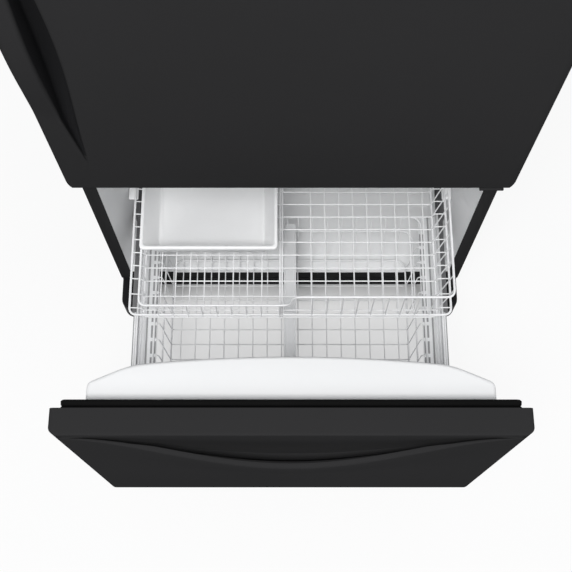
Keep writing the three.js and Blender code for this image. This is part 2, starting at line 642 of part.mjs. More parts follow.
function gripPocket() {
  const tipX = -HALF + GRIP_INSET;
  const stations = spread(GRIP_STATIONS, gripBottom, gripTop).map((z) => {
    const ease = gripEase(z, gripBottom - 4, gripTop + 4);
    const left = THREE.MathUtils.lerp(tipX - 1, ridgeX, Math.min(1, ease * 1.6));
    const right = tipX + 1 + GRIP_SPREAD * ease * ease;
    const floor = PANEL_FRONT + GRIP_DEPTH * ease;
    return { at: z, outline: [[left, PANEL_FRONT - GRIP_REACH * 2], [right, PANEL_FRONT - GRIP_REACH * 2],
      [right, PANEL_FRONT], [right - 6 * ease, floor], [left + 2 * ease, floor], [left, PANEL_FRONT]] };
  });
  return loft(stations, (x, y, z) => [x, y, z]);
}

function gripRidge() {
  const inside = PANEL_FRONT + PANEL_EDGE * 1.5;
  const stations = spread(GRIP_STATIONS, bulgeBottom, bulgeTop).map((z) => {
    const reach = GRIP_REACH * gripEase(z, bulgeBottom, bulgeTop);
    const front = PANEL_FRONT - reach;
    return { at: z, outline: [[-HALF, inside], [-HALF, front + 7], [-HALF + 2.5, front + 2],
      [-HALF + 8, front], [ridgeX - 3, front], [ridgeX, front + 3], [ridgeX, inside]] };
  });
  return loft(stations, (x, y, z) => [x, y, z]);
}

function doorPanel() {
  const holes = [DOOR_BOTTOM, DOOR_TOP].map((z) => rod('z', [HINGE_X, HINGE_Y, z], PIN_RADIUS + GAP, 60));
  return cut(slab(DOOR_BOTTOM, DOOR_TOP, 0).add(gripRidge()), [gripPocket(), ...holes]);
}

const dykeHalf = HALF - DYKE_INSET;
const dykeBottom = FRESH_FLOOR + DYKE_END_GAP;
const dykeTop = FRESH_CEILING - DYKE_END_GAP;

function doorLiner() {
  const base = HALF - GASKET_INSET - GASKET_WIDTH - GAP;
  const plate = block([-base, base], [PANEL_BACK, PANEL_BACK + LINER],
    [DOOR_BOTTOM + GASKET_INSET + GASKET_WIDTH + GAP, DOOR_TOP - GASKET_INSET - GASKET_WIDTH - GAP]);
  const ring = block([-dykeHalf, dykeHalf], [PANEL_BACK, DYKE_REACH], [dykeBottom, dykeTop]);
  const room = block([-dykeHalf + DYKE_WIDTH, dykeHalf - DYKE_WIDTH], [-FAR, FAR],
    [dykeBottom + DYKE_WIDTH / 2, dykeTop - DYKE_WIDTH / 2]);
  return plate.add(ring.subtract(room));
}

// The ring is relieved beside the hinge, where it turns past the cabinet.
function doorGasket() {
  const relief = block([HINGE_X, FAR], [-GASKET_THICKNESS / 3, FAR], [-FAR, FAR]);
  return gasketRing(DOOR_BOTTOM, DOOR_TOP).subtract(relief);
}

const binHalf = dykeHalf - DYKE_WIDTH - GAP;
const binBack = PANEL_BACK + LINER + GAP;

add(door, 'door_panel', doorPanel(), blackPaint);
add(door, 'door_liner', doorLiner(), whitePlastic);
add(door, 'door_gasket', doorGasket(), blackRubber);

const DAIRY_BOTTOM = FRESH_CEILING - DAIRY_TOP_GAP - DAIRY_HEIGHT;
const lowerBinBottom = FRESH_FLOOR + DOOR_BIN_RISE;
const middleBinBottom = (lowerBinBottom + DAIRY_BOTTOM) / 2;
const doorBin = (bottom, height) => tray([-binHalf, binHalf], [binBack, SHELF_BIN_REACH],
  [bottom, bottom + height], TRAY_WALL);
add(door, 'door_bin_lower', doorBin(lowerBinBottom, LOWER_BIN_HEIGHT), clearPlastic);
add(door, 'door_bin_middle', doorBin(middleBinBottom, MIDDLE_BIN_HEIGHT), clearPlastic);

const dairyTop = DAIRY_BOTTOM + DAIRY_HEIGHT;
const LID_PIN = 3;
const lidPivot = { y: binBack + 10, z: dairyTop - 8 };

function dairyBin() {
  const box = block([-binHalf, binHalf], [binBack, SHELF_BIN_REACH - 6], [DAIRY_BOTTOM, dairyTop]);
  const inside = block([-binHalf + TRAY_WALL, binHalf - TRAY_WALL], [binBack + TRAY_WALL, FAR],
    [DAIRY_BOTTOM + TRAY_WALL, FAR]);
  const pins = sides.map(({ side }) => rod('x', [side * (binHalf - TRAY_WALL - 3), lidPivot.y, lidPivot.z],
    LID_PIN, 7));
  const front = block([-binHalf, binHalf], [SHELF_BIN_REACH - 9, SHELF_BIN_REACH - 6],
    [DAIRY_BOTTOM, DAIRY_BOTTOM + DAIRY_HEIGHT * 0.6]);
  return join([box.subtract(inside), front, ...pins]);
}

function dairyLid() {
  const half = binHalf - TRAY_WALL - GAP;
  const top = lidPivot.z;
  const sheet = block([-half, half], [lidPivot.y - 4, SHELF_BIN_REACH], [top - 4, top + 4]);
  const inside = block([-FAR, FAR], [lidPivot.y + 5, SHELF_BIN_REACH - 3], [-FAR, top + 1]);
  const face = block([-half, half], [SHELF_BIN_REACH - 3, SHELF_BIN_REACH],
    [DAIRY_BOTTOM + DAIRY_HEIGHT / 2, top + 4]);
  const bores = sides.map(({ side }) => rod('x', [side * (half - 3), lidPivot.y, lidPivot.z],
    LID_PIN + GAP, 9));
  return cut(join([sheet.subtract(inside), face]), bores);
}

add(door, 'dairy_bin', dairyBin(), clearPlastic);
add(door, 'dairy_lid', dairyLid(), clearPlastic);

// ---- hinges -----------------------------------------------------------------------------------------
const PIN_DEPTH = 24;
const TAB_HALF = 22.5;
const TAB_X = HINGE_X - 9.5;
const COVER_HEIGHT = 27;

function topHinge() {
  return join([
    block([TAB_X - TAB_HALF, TAB_X + TAB_HALF + 8], [PANEL_FRONT + 5, 60],
      [CABINET_TOP, CABINET_TOP + HINGE_PLATE]),
    rod('z', [HINGE_X, HINGE_Y, CABINET_TOP - PIN_DEPTH / 2 + 1], PIN_RADIUS, PIN_DEPTH + 2),
  ]);
}

function hingeCover() {
  const [left, right] = [TAB_X - TAB_HALF - 6, TAB_X + TAB_HALF + 14];
  const outer = block([left, right], [PANEL_FRONT + 2, 70], [CABINET_TOP, CABINET_TOP + COVER_HEIGHT]);
  return outer.subtract(block([left + 3, right - 3], [PANEL_FRONT + 4.5, 67],
    [-FAR, CABINET_TOP + COVER_HEIGHT - 3]));
}

function centreHinge() {
  const tab = [DRAWER_TOP + 1, DRAWER_TOP + 1 + HINGE_PLATE + 1];
  return join([
    block([TAB_X - TAB_HALF, TAB_X + TAB_HALF], [PANEL_FRONT - 2, 0], tab),
    block([TAB_X - TAB_HALF, TAB_X + TAB_HALF], [-HINGE_PLATE, 0], [DRAWER_TOP - GASKET_INSET + 3, tab[1]]),
    rod('z', [HINGE_X, HINGE_Y, DOOR_BOTTOM + PIN_DEPTH / 2 - 2], PIN_RADIUS, PIN_DEPTH + 4),
  ]);
}

add(cabinet, 'top_hinge', topHinge(), darkSteel);
add(cabinet, 'hinge_cover', hingeCover(), blackPlastic);
add(cabinet, 'centre_hinge', centreHinge(), blackPaint);

// ---- drawer front -----------------------------------------------------------------------------------
const lipHalf = HALF - LIP_SIDE_GAP;
const pocketHalf = HALF - POCKET_SIDE_GAP;
const lipEase = (x) => Math.pow(Math.cos(Math.PI * x / (2 * lipHalf)) ** 2, LIP_POWER);
const lipTop = (x) => DRAWER_TOP - LIP_END_DROP - LIP_DIP * lipEase(x);

// How far the panel below the lip still stands out, by its drop below the lip.
const lipFade = [[LIP_NOSE, 1], [30, 0.97], [90, 0.8], [160, 0.5], [230, 0.2]];

function handleLip() {
  const stations = spread(LIP_STATIONS + 1, -lipHalf + 10, lipHalf - 10).map((x) => {
    const top = lipTop(x);
    const reach = LIP_REACH * lipEase(x);
    const face = faceY(top);
    const outer = lipFade.map(([drop, share]) => [faceY(top - drop) - reach * share, top - drop]);
    return { at: x, outline: [[face + 4, top], [face - reach + 2.5, top], ...outer,
      [faceY(top - LIP_FADE) + 4, top - LIP_FADE]] };
  });
  return loft(stations, (y, z, x) => [x, y, z]);
}

function handPocket() {
  const stations = spread(LIP_STATIONS + 1, -pocketHalf, pocketHalf).map((x) => {
    const ease = lipEase(x);
    const top = lipTop(x);
    const face = faceY(top);
    const back = face + POCKET_RECESS * Math.sqrt(ease);
    const lip = face - LIP_REACH * ease + LIP_THICKNESS;
    const pit = top - POCKET_PIT * ease;
    const knee = top - POCKET_PIT * ease * 0.7;
    const roof = DRAWER_TOP - POCKET_TOP_BAND;
    return { at: x, outline: [[face - LIP_REACH * 2, roof], [back - 3 * ease, roof], [back, roof - 10],
      [back, knee], [back - 5 * ease, pit], [lip + 2 * ease, pit], [lip, knee], [lip, top + 0.5],
      [face - LIP_REACH * 2, top + 0.5]] };
  });
  return loft(stations, (y, z, x) => [x, y, z]);
}

function drawerFront() {
  return slab(DRAWER_BOTTOM, DRAWER_TOP, DRAWER_LEAN).add(handleLip()).subtract(handPocket());
}

const archHalf = HALF - GASKET_INSET - GASKET_WIDTH - ARCH_SIDE_GAP;

// Depth of the bowed inner wall behind the cabinet's front plane.
const archBow = (x) => ARCH_DEPTH - ARCH_SAG * (x / archHalf) ** 2;

function drawerLiner() {
  const cornerX = archHalf - ARCH_CORNER;
  const corner = [[archHalf, ARCH_SIDE_DEPTH], [cornerX, archBow(cornerX)]];
  const bow = spread(7, cornerX, -cornerX).slice(1, -1).map((x) => [x, archBow(x)]);
  const mirrored = corner.map(([x, y]) => [-x, y]).reverse();
  const plan = [[archHalf, PANEL_BACK], ...corner, ...bow, ...mirrored, [-archHalf, PANEL_BACK]];
  return prism('z', plan, DRAWER_BOTTOM + ARCH_BOTTOM_RISE, DRAWER_TOP - ARCH_TOP_DROP);
}

add(drawer, 'drawer_front', drawerFront(), blackPaint);
add(drawer, 'drawer_liner', drawerLiner(), whitePlastic);
add(drawer, 'drawer_gasket', gasketRing(DRAWER_BOTTOM, DRAWER_TOP), blackRubber);

// ---- drawer slides ----------------------------------------------------------------------------------
// Three nested channels; each opens towards the drawer.
function channel(side, layer, [y0, y1]) {
  const outer = SLIDE_OUTER_X - layer * (SLIDE_WALL + GAP);
  const half = SLIDE_HEIGHT / 2 - layer * (SLIDE_WALL + GAP);
  const [low, high] = [SLIDE_MIDDLE_Z - half, SLIDE_MIDDLE_Z + half];
  const body = block(across(side, outer - SLIDE_WIDTH, outer), [y0, y1], [low, high]);
  return body.subtract(block(across(side, outer - FAR, outer - SLIDE_WALL), [-FAR, FAR],
    [low + SLIDE_WALL, high - SLIDE_WALL]));
}

const slideSpan = [SLIDE_START, LOWER_REAR_RIM + SLIDE_TAIL];
const carrierTop = LOWER_RIM - THICK_WIRE / 2 - GAP;
const slideInnerX = SLIDE_OUTER_X - 2 * (SLIDE_WALL + GAP);

function slideInner(side) {
  const inner = slideInnerX - SLIDE_WIDTH - CARRIER_WIDTH;
  const carrier = block(across(side, inner, slideInnerX - SLIDE_WALL / 2), slideSpan,
    [carrierTop - CARRIER_THICKNESS, carrierTop]);
  const middle = SLIDE_OUTER_X - SLIDE_WALL - GAP - SLIDE_WIDTH;
  const bracket = block(across(side, inner, middle - GAP),
    [ARCH_DEPTH / 2, slideSpan[0] + BRACKET_DEPTH], [carrierTop - SLIDE_HEIGHT, carrierTop]);
  return join([channel(side, 2, slideSpan), carrier, bracket]).subtract(drawerLiner().translate(0, GAP, 0));
}

for (const { side, word } of sides) {
  add(cabinet, `slide_outer_${word}`, channel(side, 0, slideSpan), darkSteel);
  add(slideMiddles, `slide_middle_${word}`, channel(side, 1, slideSpan), darkSteel);
  add(drawer, `slide_inner_${word}`, slideInner(side), zincSteel);
}

// ---- lower basket and its divider -------------------------------------------------------------------
const lowerRimHalf = slideInnerX - SLIDE_WIDTH - CARRIER_WIDTH + THICK_WIRE * 1.4;
const lowerSideHalf = slideInnerX - SLIDE_WIDTH - CARRIER_WIDTH - LOWER_SIDE_GAP;
const lowerFloorHalf = lowerSideHalf - LOWER_SIDE_LEAN;
const lowerHalfAt = (z) => THREE.MathUtils.mapLinear(z,
  LOWER_FLOOR, LOWER_RIM, lowerFloorHalf, lowerSideHalf);
const lowerRearAt = (z) => THREE.MathUtils.mapLinear(z,
  LOWER_FLOOR, LOWER_RIM, LOWER_REAR_FLOOR, LOWER_REAR_RIM);

function lowerLoop(z, half, size) {
  const rear = lowerRearAt(z);
  const corners = [[-half, LOWER_FRONT, z], [half, LOWER_FRONT, z], [half, rear, z], [-half, rear, z]];
  return corners.map((corner, i) => bar(corner, corners[(i + 1) % 4], size));
}

function lowerBasket() {
  const band = LOWER_FLOOR + LOWER_BAND_RISE;
  const bars = [...lowerLoop(LOWER_FLOOR, lowerFloorHalf, LOOP_WIRE),
    ...lowerLoop(band, lowerHalfAt(band), LOOP_WIRE), ...lowerLoop(LOWER_RIM, lowerRimHalf, THICK_WIRE)];
  for (const share of spread(LOWER_BARS_ACROSS, -1, 1).slice(1, -1)) {
    const [low, high] = [share * lowerFloorHalf, share * lowerSideHalf];
    bars.push(bar([low, LOWER_FRONT, LOWER_FLOOR], [low, LOWER_REAR_FLOOR, LOWER_FLOOR], THIN_WIRE));
    bars.push(bar([low, LOWER_FRONT, LOWER_FLOOR], [high, LOWER_FRONT, LOWER_RIM], THIN_WIRE));
    bars.push(bar([low, LOWER_REAR_FLOOR, LOWER_FLOOR], [high, LOWER_REAR_RIM, LOWER_RIM], THIN_WIRE));
  }
  for (const y of spread(LOWER_BARS_ALONG, LOWER_FRONT, LOWER_REAR_FLOOR)) {
    bars.push(bar([-lowerFloorHalf, y, LOWER_FLOOR], [lowerFloorHalf, y, LOWER_FLOOR], CROSS_WIRE));
    for (const { side } of sides) {
      const bend = [side * lowerSideHalf, y, LOWER_RIM];
      bars.push(bar([side * lowerFloorHalf, y, LOWER_FLOOR], bend, CROSS_WIRE));
      bars.push(bar(bend, [side * lowerRimHalf, y, LOWER_RIM], CROSS_WIRE));
    }
  }
  return join(bars);
}

function basketDivider() {
  const bottom = LOWER_FLOOR + LOOP_WIRE / 2 + GAP;
  const front = LOWER_FRONT + DIVIDER_TRAVEL_GAP;
  const profile = (wall) => [[front + wall, bottom + wall],
    [LOWER_REAR_FLOOR - DIVIDER_TRAVEL_GAP - wall, bottom + wall],
    [LOWER_REAR_RIM - DIVIDER_TRAVEL_GAP * 2 - wall, LOWER_RIM - wall], [front + wall, LOWER_RIM - wall]];
  const half = DIVIDER_WIDTH / 2;
  const shell = prism('x', profile(0), -half, half);
  return shell.subtract(prism('x', profile(DIVIDER_WALL), -half - 1, half - DIVIDER_WALL));
}

add(drawer, 'lower_basket', lowerBasket(), whiteWire);
add(drawer, 'basket_divider', basketDivider(), whitePlastic);

// ---- upper basket and ice bin -----------------------------------------------------------------------
function upperBasket() {
  const high = UPPER_HALF + UPPER_FLARE;
  const loopHalf = freezerRoom.half - LEDGE_WIDTH / 2 - THICK_WIRE;
  const [front, rear] = [UPPER_FRONT, UPPER_REAR];
  const bars = [];
  const path = (points, size) => {
    for (let i = 1; i < points.length; i++) bars.push(bar(points[i - 1], points[i], size));
  };
  const step = STEP_X + STEP_RUN;
  path([[high, rear, UPPER_HIGH_RIM], [high, front, UPPER_HIGH_RIM], [step, front, UPPER_HIGH_RIM],
    [STEP_X, front, UPPER_LOW_RIM], [-UPPER_HALF, front, UPPER_LOW_RIM], [-UPPER_HALF, rear, UPPER_LOW_RIM],
    [-UPPER_HALF, rear, UPPER_HIGH_RIM], [high, rear, UPPER_HIGH_RIM]], THICK_WIRE);
  path([[-loopHalf, rear, UPPER_LOOP], [-loopHalf, front, UPPER_LOOP], [loopHalf, front, UPPER_LOOP],
    [loopHalf, rear, UPPER_LOOP], [-loopHalf, rear, UPPER_LOOP]], THICK_WIRE);
  const floor = [[-UPPER_HALF, front], [UPPER_HALF, front], [UPPER_HALF, rear], [-UPPER_HALF, rear]];
  path([...floor, floor[0]].map(([x, y]) => [x, y, UPPER_FLOOR]), LOOP_WIRE);
  for (const x of spread(UPPER_BARS_ALONG, -UPPER_HALF, UPPER_HALF).slice(1, -1)) {
    bars.push(bar([x, front, UPPER_FLOOR], [x, rear, UPPER_FLOOR], THIN_WIRE));
    bars.push(bar([x, front, UPPER_FLOOR], [x, front, x < STEP_X ? UPPER_LOW_RIM : UPPER_HIGH_RIM], THIN_WIRE));
    bars.push(bar([x, rear, UPPER_FLOOR], [x, rear, UPPER_HIGH_RIM], THIN_WIRE));
  }
  for (const y of spread(UPPER_BARS_ACROSS, front, rear)) {
    bars.push(bar([-UPPER_HALF, y, UPPER_FLOOR], [UPPER_HALF, y, UPPER_FLOOR], CROSS_WIRE));
    bars.push(bar([-UPPER_HALF, y, UPPER_FLOOR], [-UPPER_HALF, y, UPPER_LOW_RIM], CROSS_WIRE));
    bars.push(bar([UPPER_HALF, y, UPPER_FLOOR], [high, y, UPPER_HIGH_RIM], CROSS_WIRE));
    for (const { side } of sides) {
      bars.push(bar([side * UPPER_HALF, y, UPPER_LOOP], [side * loopHalf, y, UPPER_LOOP], CROSS_WIRE));
    }
  }
  return join(bars);
}

const binFront = UPPER_FRONT + BIN_SETBACK;
const binRear = UPPER_REAR - BIN_REAR_GAP;
const binLeft = -UPPER_HALF - BIN_OVERHANG;
const binRight = binLeft + BIN_WIDTH;
const binFloor = UPPER_FLOOR + LOOP_WIRE / 2 + GAP;
const binTop = UPPER_LOW_RIM + BIN_RISE;

function iceBin() {
  const x = [binLeft + BIN_RIM, binRight - BIN_RIM];
  const y = [binFront + BIN_RIM, binRear - BIN_RIM];
  const shellAt = (wall, top) => {
    const corners = [];
    const ring = (inset, z) => {
      for (const cx of [x[0] + inset, x[1] - inset]) {
        for (const cy of [y[0] + inset, y[1] - inset]) corners.push([cx, cy, z]);
      }
    };
    ring(BIN_TAPER + wall, binFloor + wall);
    ring(wall, top);
    return hull(corners);
  };
  const rim = block([binLeft, binRight], [binFront, binRear], [binTop - BIN_RIM_THICKNESS, binTop]);
  return shellAt(0, binTop).add(rim).subtract(shellAt(BIN_WALL, binTop + 1));
}

add(upperBasketGroup, 'upper_basket', upperBasket(), whiteWire);
add(upperBasketGroup, 'ice_bin', iceBin(), whitePlastic);

// ---- freezer machinery ------------------------------------------------------------------------------
const FAN_DROP = 134;               // below the freezer's ceiling
const FAN_Z = FREEZER_CEILING - FAN_DROP;
const FAN_RADIUS = 52;
const FAN_HUB = 16;
const SHAFT = 3;

function fan(axis, centre, bladeLength) {
  const along = (offset) => centre.map((v, i) => (i === 'xyz'.indexOf(axis) ? v + offset : v));
  const hub = rod(axis, centre, FAN_HUB, bladeLength);
  const blades = spread(6, 0, Math.PI * 5 / 3).map((turn) => {
    const blade = new THREE.BoxGeometry(FAN_RADIUS - FAN_HUB / 2, 3, bladeLength * 0.9);
    blade.rotateX(0.35);
    blade.translate(FAN_HUB / 2 + (FAN_RADIUS - FAN_HUB / 2) / 2, 0, 0);
    blade.rotateZ(turn);
    if (axis === 'y') blade.rotateX(Math.PI / 2);
    if (axis === 'x') blade.rotateY(Math.PI / 2);
    blade.translate(...centre);
    return solidOf(blade);
  });
  return join([hub, ...blades]).subtract(rod(axis, along(0), SHAFT + GAP, FAR));
}

function evaporatorCover() {
  const half = freezerRoom.half - GAP;
  const plate = block([-half, half], [coverPlateY, coverPlateY + TRAY_WALL],
    [freezerRoom.humpTop + GAP, FREEZER_CEILING - GAP]);
  const vents = spread(5, -120, 120).map((x) => block([x - 22, x + 22], [-FAR, FAR], [FAN_Z + 66, FAN_Z + 84]));
  const mount = block([-FAN_RADIUS, FAN_RADIUS], [coverPlateY + 38, coverPlateY + 42],
    [FAN_Z - FAN_HUB, FAN_Z + FAN_HUB]);
  const posts = sides.map(({ side }) => block(across(side, FAN_RADIUS + 4, FAN_RADIUS + 10),
    [coverPlateY, coverPlateY + 42], [FAN_Z - FAN_HUB, FAN_Z + FAN_HUB]));
  const arms = block([-FAN_RADIUS - 8, FAN_RADIUS + 8], [coverPlateY + 38, coverPlateY + 42],
    [FAN_Z - FAN_HUB / 2, FAN_Z + FAN_HUB / 2]);
  const shaft = rod('y', [0, coverPlateY + 28, FAN_Z], SHAFT, 24);
  return cut(join([plate, mount, ...posts, arms, shaft]), vents);
}

const COIL_SIDE_GAP = 96;
const COIL_END = 8;

function evaporator() {
  const half = freezerRoom.half - COIL_SIDE_GAP;
  const [low, high] = [freezerRoom.humpTop + 40, FAN_Z - FAN_RADIUS - 30];
  const back = freezerRoom.rear - GAP;
  const rows = spread(4, low + 14, high - 14);
  const tubes = rows.map((z) => rod('x', [0, back - 20, z], 5, half * 2, 8));
  const fins = spread(9, -half + COIL_END * 2, half - COIL_END * 2).map((x) => block([x - 0.6, x + 0.6],
    [back - 38, back], [low, high]));
  const bends = rows.slice(1).map((z, i) => block(across(i % 2 ? 1 : -1, half - COIL_END, half), [back - 24, back - 16],
    [rows[i] - 4, z + 4]));
  return join([...tubes, ...fins, ...bends]);
}

add(cabinet, 'evaporator_cover', evaporatorCover(), whitePlastic);
add(cabinet, 'evaporator', evaporator(), aluminium);
add(cabinet, 'evaporator_fan', fan('y', [0, coverPlateY + 22, FAN_Z], 16), blackPlastic);

const ICE_MAKER_SIZE = [115, 220, 80];
const iceMakerLow = [-freezerRoom.half + 36, coverPlateY - 111 - ICE_MAKER_SIZE[1], FREEZER_CEILING - 114];
const [iceMakerX, iceMakerY, iceMakerZ] = iceMakerLow.map((low, i) => [low, low + ICE_MAKER_SIZE[i]]);
const BAIL_WIRE = 3;

function iceMaker() {
  const [x, y, z] = [iceMakerX, iceMakerY, iceMakerZ];
  const mould = tray(x, y, z, 6);
  const hangers = [y[0] + 20, y[1] - 40].map((y0) => block([x[0], x[0] + 8], [y0, y0 + 20],
    [z[1] - 10, FREEZER_CEILING - GAP]));
  const pivot = rod('x', [x[1] + 4, y[0] + 30, z[0] + 30], BAIL_WIRE, 12);
  return join([mould, ...hangers, pivot]);
}

function bailArm() {
  const [x, y, z] = [iceMakerX, iceMakerY, iceMakerZ];
  const armX = x[1] + 4;
  const pivot = [armX, y[0] + 30, z[0] + 30];
  const end = [armX, y[1] - 40, z[0] - 12];
  const eye = rod('x', pivot, BAIL_WIRE * 2.5, BAIL_WIRE, 12);
  return join([eye, bar(pivot, end, BAIL_WIRE)]).subtract(rod('x', pivot, BAIL_WIRE + GAP, FAR));
}

add(cabinet, 'ice_maker', iceMaker(), whitePlastic);
add(cabinet, 'ice_bail_arm', bailArm(), zincSteel);

// ---- fresh food interior ----------------------------------------------------------------------------
const shelfHalf = freshRoom.half - SHELF_GAP;

function glassShelf(level) {
  const body = block([-shelfHalf, shelfHalf], shelfSpan, [level - SHELF_THICKNESS, level]);
  const rim = SHELF_THICKNESS;
  return body.subtract(block([-shelfHalf + rim, shelfHalf - rim], [shelfSpan[0] + rim, shelfSpan[1] - rim],
    [level - SHELF_THICKNESS / 3, FAR]));
}

function crisperCover() {
  const bottom = CRISPER_COVER_LEVEL - SHELF_THICKNESS;
  const stem = block([-HANGER_STEM_HALF, HANGER_STEM_HALF], shelfSpan, [crisperSeat - LEDGE_THICKNESS, bottom]);
  const seat = block([-HANGER_HALF, HANGER_HALF], shelfSpan, [crisperSeat - LEDGE_THICKNESS, crisperSeat]);
  return join([glassShelf(CRISPER_COVER_LEVEL), stem, seat]);
}

function crisper(side) {
  const near = HANGER_STEM_HALF + SHELF_GAP;
  const railInner = freshRoom.half - SHELF_LEDGE - SHELF_GAP - CRISPER_SIDE;
  const far = freshRoom.half - SHELF_GAP * 3 - CRISPER_SIDE;
  const span = [CRISPER_FRONT, shelfSpan[1] - CRISPER_REAR_GAP];
  const bodyX = across(side, HANGER_HALF + GAP * 4, railInner - GAP * 4);
  const body = block(bodyX, span, [FRESH_FLOOR + CRISPER_FLOOR_GAP, crisperRimTop]);
  const flange = block(across(side, near, far), [span[0] + 12, span[1]],
    [crisperRimTop - CRISPER_FLANGE_THICKNESS, crisperRimTop]);
  const inside = block([bodyX[0] + CRISPER_WALL, bodyX[1] - CRISPER_WALL],
    [span[0] + CRISPER_WALL, span[1] - CRISPER_WALL], [FRESH_FLOOR + CRISPER_FLOOR_GAP + CRISPER_WALL, FAR]);
  return body.add(flange).subtract(inside);
}

for (const [i, word] of ['lower', 'middle', 'upper'].entries()) {
  add(cabinet, `glass_shelf_${word}`, glassShelf(shelfLevels[i]), glass);
}
add(cabinet, 'crisper_cover', crisperCover(), glass);
for (const { side, word } of sides) add(cabinet, `crisper_${word}`, crisper(side), clearPlastic);

const TOWER_HALF = 90;
const TOWER_DEPTH = 30;
const CONTROL = { half: 150, y: [freshRoom.rear - 445, freshRoom.rear - 195], height: 34 };
const DIAL = { x: 60, radius: 13, length: 12 };

function airTower() {
  const y = [freshRoom.rear - GAP - TOWER_DEPTH, freshRoom.rear - GAP];
  const body = block([-TOWER_HALF, TOWER_HALF], y, [CRISPER_COVER_LEVEL, FRESH_CEILING - CONTROL.height]);
  const duct = block([-TOWER_HALF + 8, TOWER_HALF - 8], [y[0] + 4, FAR],
    [CRISPER_COVER_LEVEL + 8, FRESH_CEILING - CONTROL.height - 8]);
  const vents = spread(5, CRISPER_COVER_LEVEL + 70, FRESH_CEILING - CONTROL.height - 70).flatMap((z) => [-1, 1]
    .map((side) => block(across(side, 25, 65), [-FAR, FAR], [z - 5, z + 5])));
  return cut(body, [duct, ...vents]);
}

function controlHousing() {
  const top = FRESH_CEILING - GAP;
  const body = block([-CONTROL.half, CONTROL.half], CONTROL.y, [top - CONTROL.height, top]);
  const lampRoom = block([-CONTROL.half + 20, -20], [CONTROL.y[0] + 20, CONTROL.y[1] - 40],
    [-FAR, top - CONTROL.height / 2]);
  const pivot = rod('y', [DIAL.x, CONTROL.y[0] - DIAL.length / 2, top - CONTROL.height / 2], SHAFT,
    DIAL.length + 2);
  return body.subtract(lampRoom).add(pivot);
}

function temperatureDial() {
  const centre = [DIAL.x, CONTROL.y[0] - GAP - DIAL.length / 2, FRESH_CEILING - GAP - CONTROL.height / 2];
  const knob = rod('y', centre, DIAL.radius, DIAL.length);
  const [x, y, z] = centre;
  const pointer = block([x - 1.5, x + 1.5], [y - DIAL.length / 2 - 3, y], [z, z + DIAL.radius + 2]);
  return knob.add(pointer).subtract(rod('y', centre, SHAFT + GAP, FAR));
}

function lampCover() {
  const top = FRESH_CEILING - GAP - CONTROL.height;
  const [x, y] = [[-CONTROL.half + 14, -14], [CONTROL.y[0] + 14, CONTROL.y[1] - 34]];
  const outer = block(x, y, [top - 10, top]);
  return outer.subtract(block([x[0] + 2, x[1] - 2], [y[0] + 2, y[1] - 2], [top - 8, FAR]));
}

add(cabinet, 'air_tower', airTower(), whitePlastic);
add(cabinet, 'control_housing', controlHousing(), whitePlastic);
add(cabinet, 'temperature_dial', temperatureDial(), whitePlastic);
add(cabinet, 'lamp_cover', lampCover(), clearPlastic);

// ---- machine room -----------------------------------------------------------------------------------
const roomFloor = SKIRT + DECK;
const COMPRESSOR_INSET = 181.5;
const CONDENSER_INSET = 116.5;
const CONDENSER_LENGTH = 210;
const FAN_INSET = 376.5;
const COMPRESSOR = { x: HALF - COMPRESSOR_INSET, y: MACHINE_ROOM_FRONT + 92, radius: 72 };
const CONDENSER = {
  x: [-HALF + CONDENSER_INSET, -HALF + CONDENSER_INSET + CONDENSER_LENGTH],
  y: [MACHINE_ROOM_FRONT + 22, MACHINE_ROOM_FRONT + 152],
  rise: 24,
};
const FAN_X = HALF - FAN_INSET;
const fanAxisZ = roomFloor + FAN_RADIUS + 12;

function compressor() {
  const { x, y, radius } = COMPRESSOR;
  const foot = roomFloor + 8;
  const profile = [[0, foot + 3], [radius - 10, foot + 3], [radius, foot + 14], [radius, foot + 90],
    [radius - 14, foot + 114], [radius - 40, foot + 124], [0, foot + 126]];
  const shell = new THREE.LatheGeometry(profile.map(([r, z]) => new THREE.Vector2(r, z)), 28);
  shell.rotateX(Math.PI / 2);
  shell.translate(x, y, 0);
  const plate = block([x - radius - 10, x + radius + 10], [y - 45, y + 45], [foot, foot + 5]);
  const grommets = [-1, 1].flatMap((i) => [-1, 1].map((j) => rod('z',
    [x + i * radius, y + j * 36, roomFloor + 5], 9, 10, 16)));
  const stub = rod('x', [x - radius - 14, y, foot + 60], 5, 40, 12);
  return join([solidOf(shell), plate, ...grommets, stub]);
}

function condenser() {
  const { x, y, rise } = CONDENSER;
  const levels = spread(4, roomFloor + rise, MACHINE_ROOM_TOP - 25);
  const rows = spread(2, y[0] + 30, y[1] - 30);
  const tubes = levels.flatMap((z) => rows.map((at) => rod('x', [(x[0] + x[1]) / 2, at, z], 4,
    x[1] - x[0] + 4, 6)));
  const plates = [x[0], x[1]].map((at) => block([at - 1.5, at + 1.5], y, [roomFloor, MACHINE_ROOM_TOP - 14]));
  const fins = spread(5, x[0] + 30, x[1] - 30).map((at) => block([at - 0.6, at + 0.6], [y[0] + 6, y[1] - 6],
    [roomFloor + rise - 8, MACHINE_ROOM_TOP - 17]));
  return join([...plates, ...tubes, ...fins]);
}

function fanBracket() {
  const z = fanAxisZ;
  const y = COMPRESSOR.y;
  const post = block([FAN_X + 22, FAN_X + 27], [y - 14, y + 14], [roomFloor, z + 14]);
  const foot = block([FAN_X + 22, FAN_X + 50], [y - 30, y + 30], [roomFloor, roomFloor + 3]);
  const motor = rod('x', [FAN_X + 30, y, z], 14, 22, 16);
  const shaft = rod('x', [FAN_X + 8, y, z], SHAFT, 40, 12);
  return join([post, foot, motor, shaft]);
}

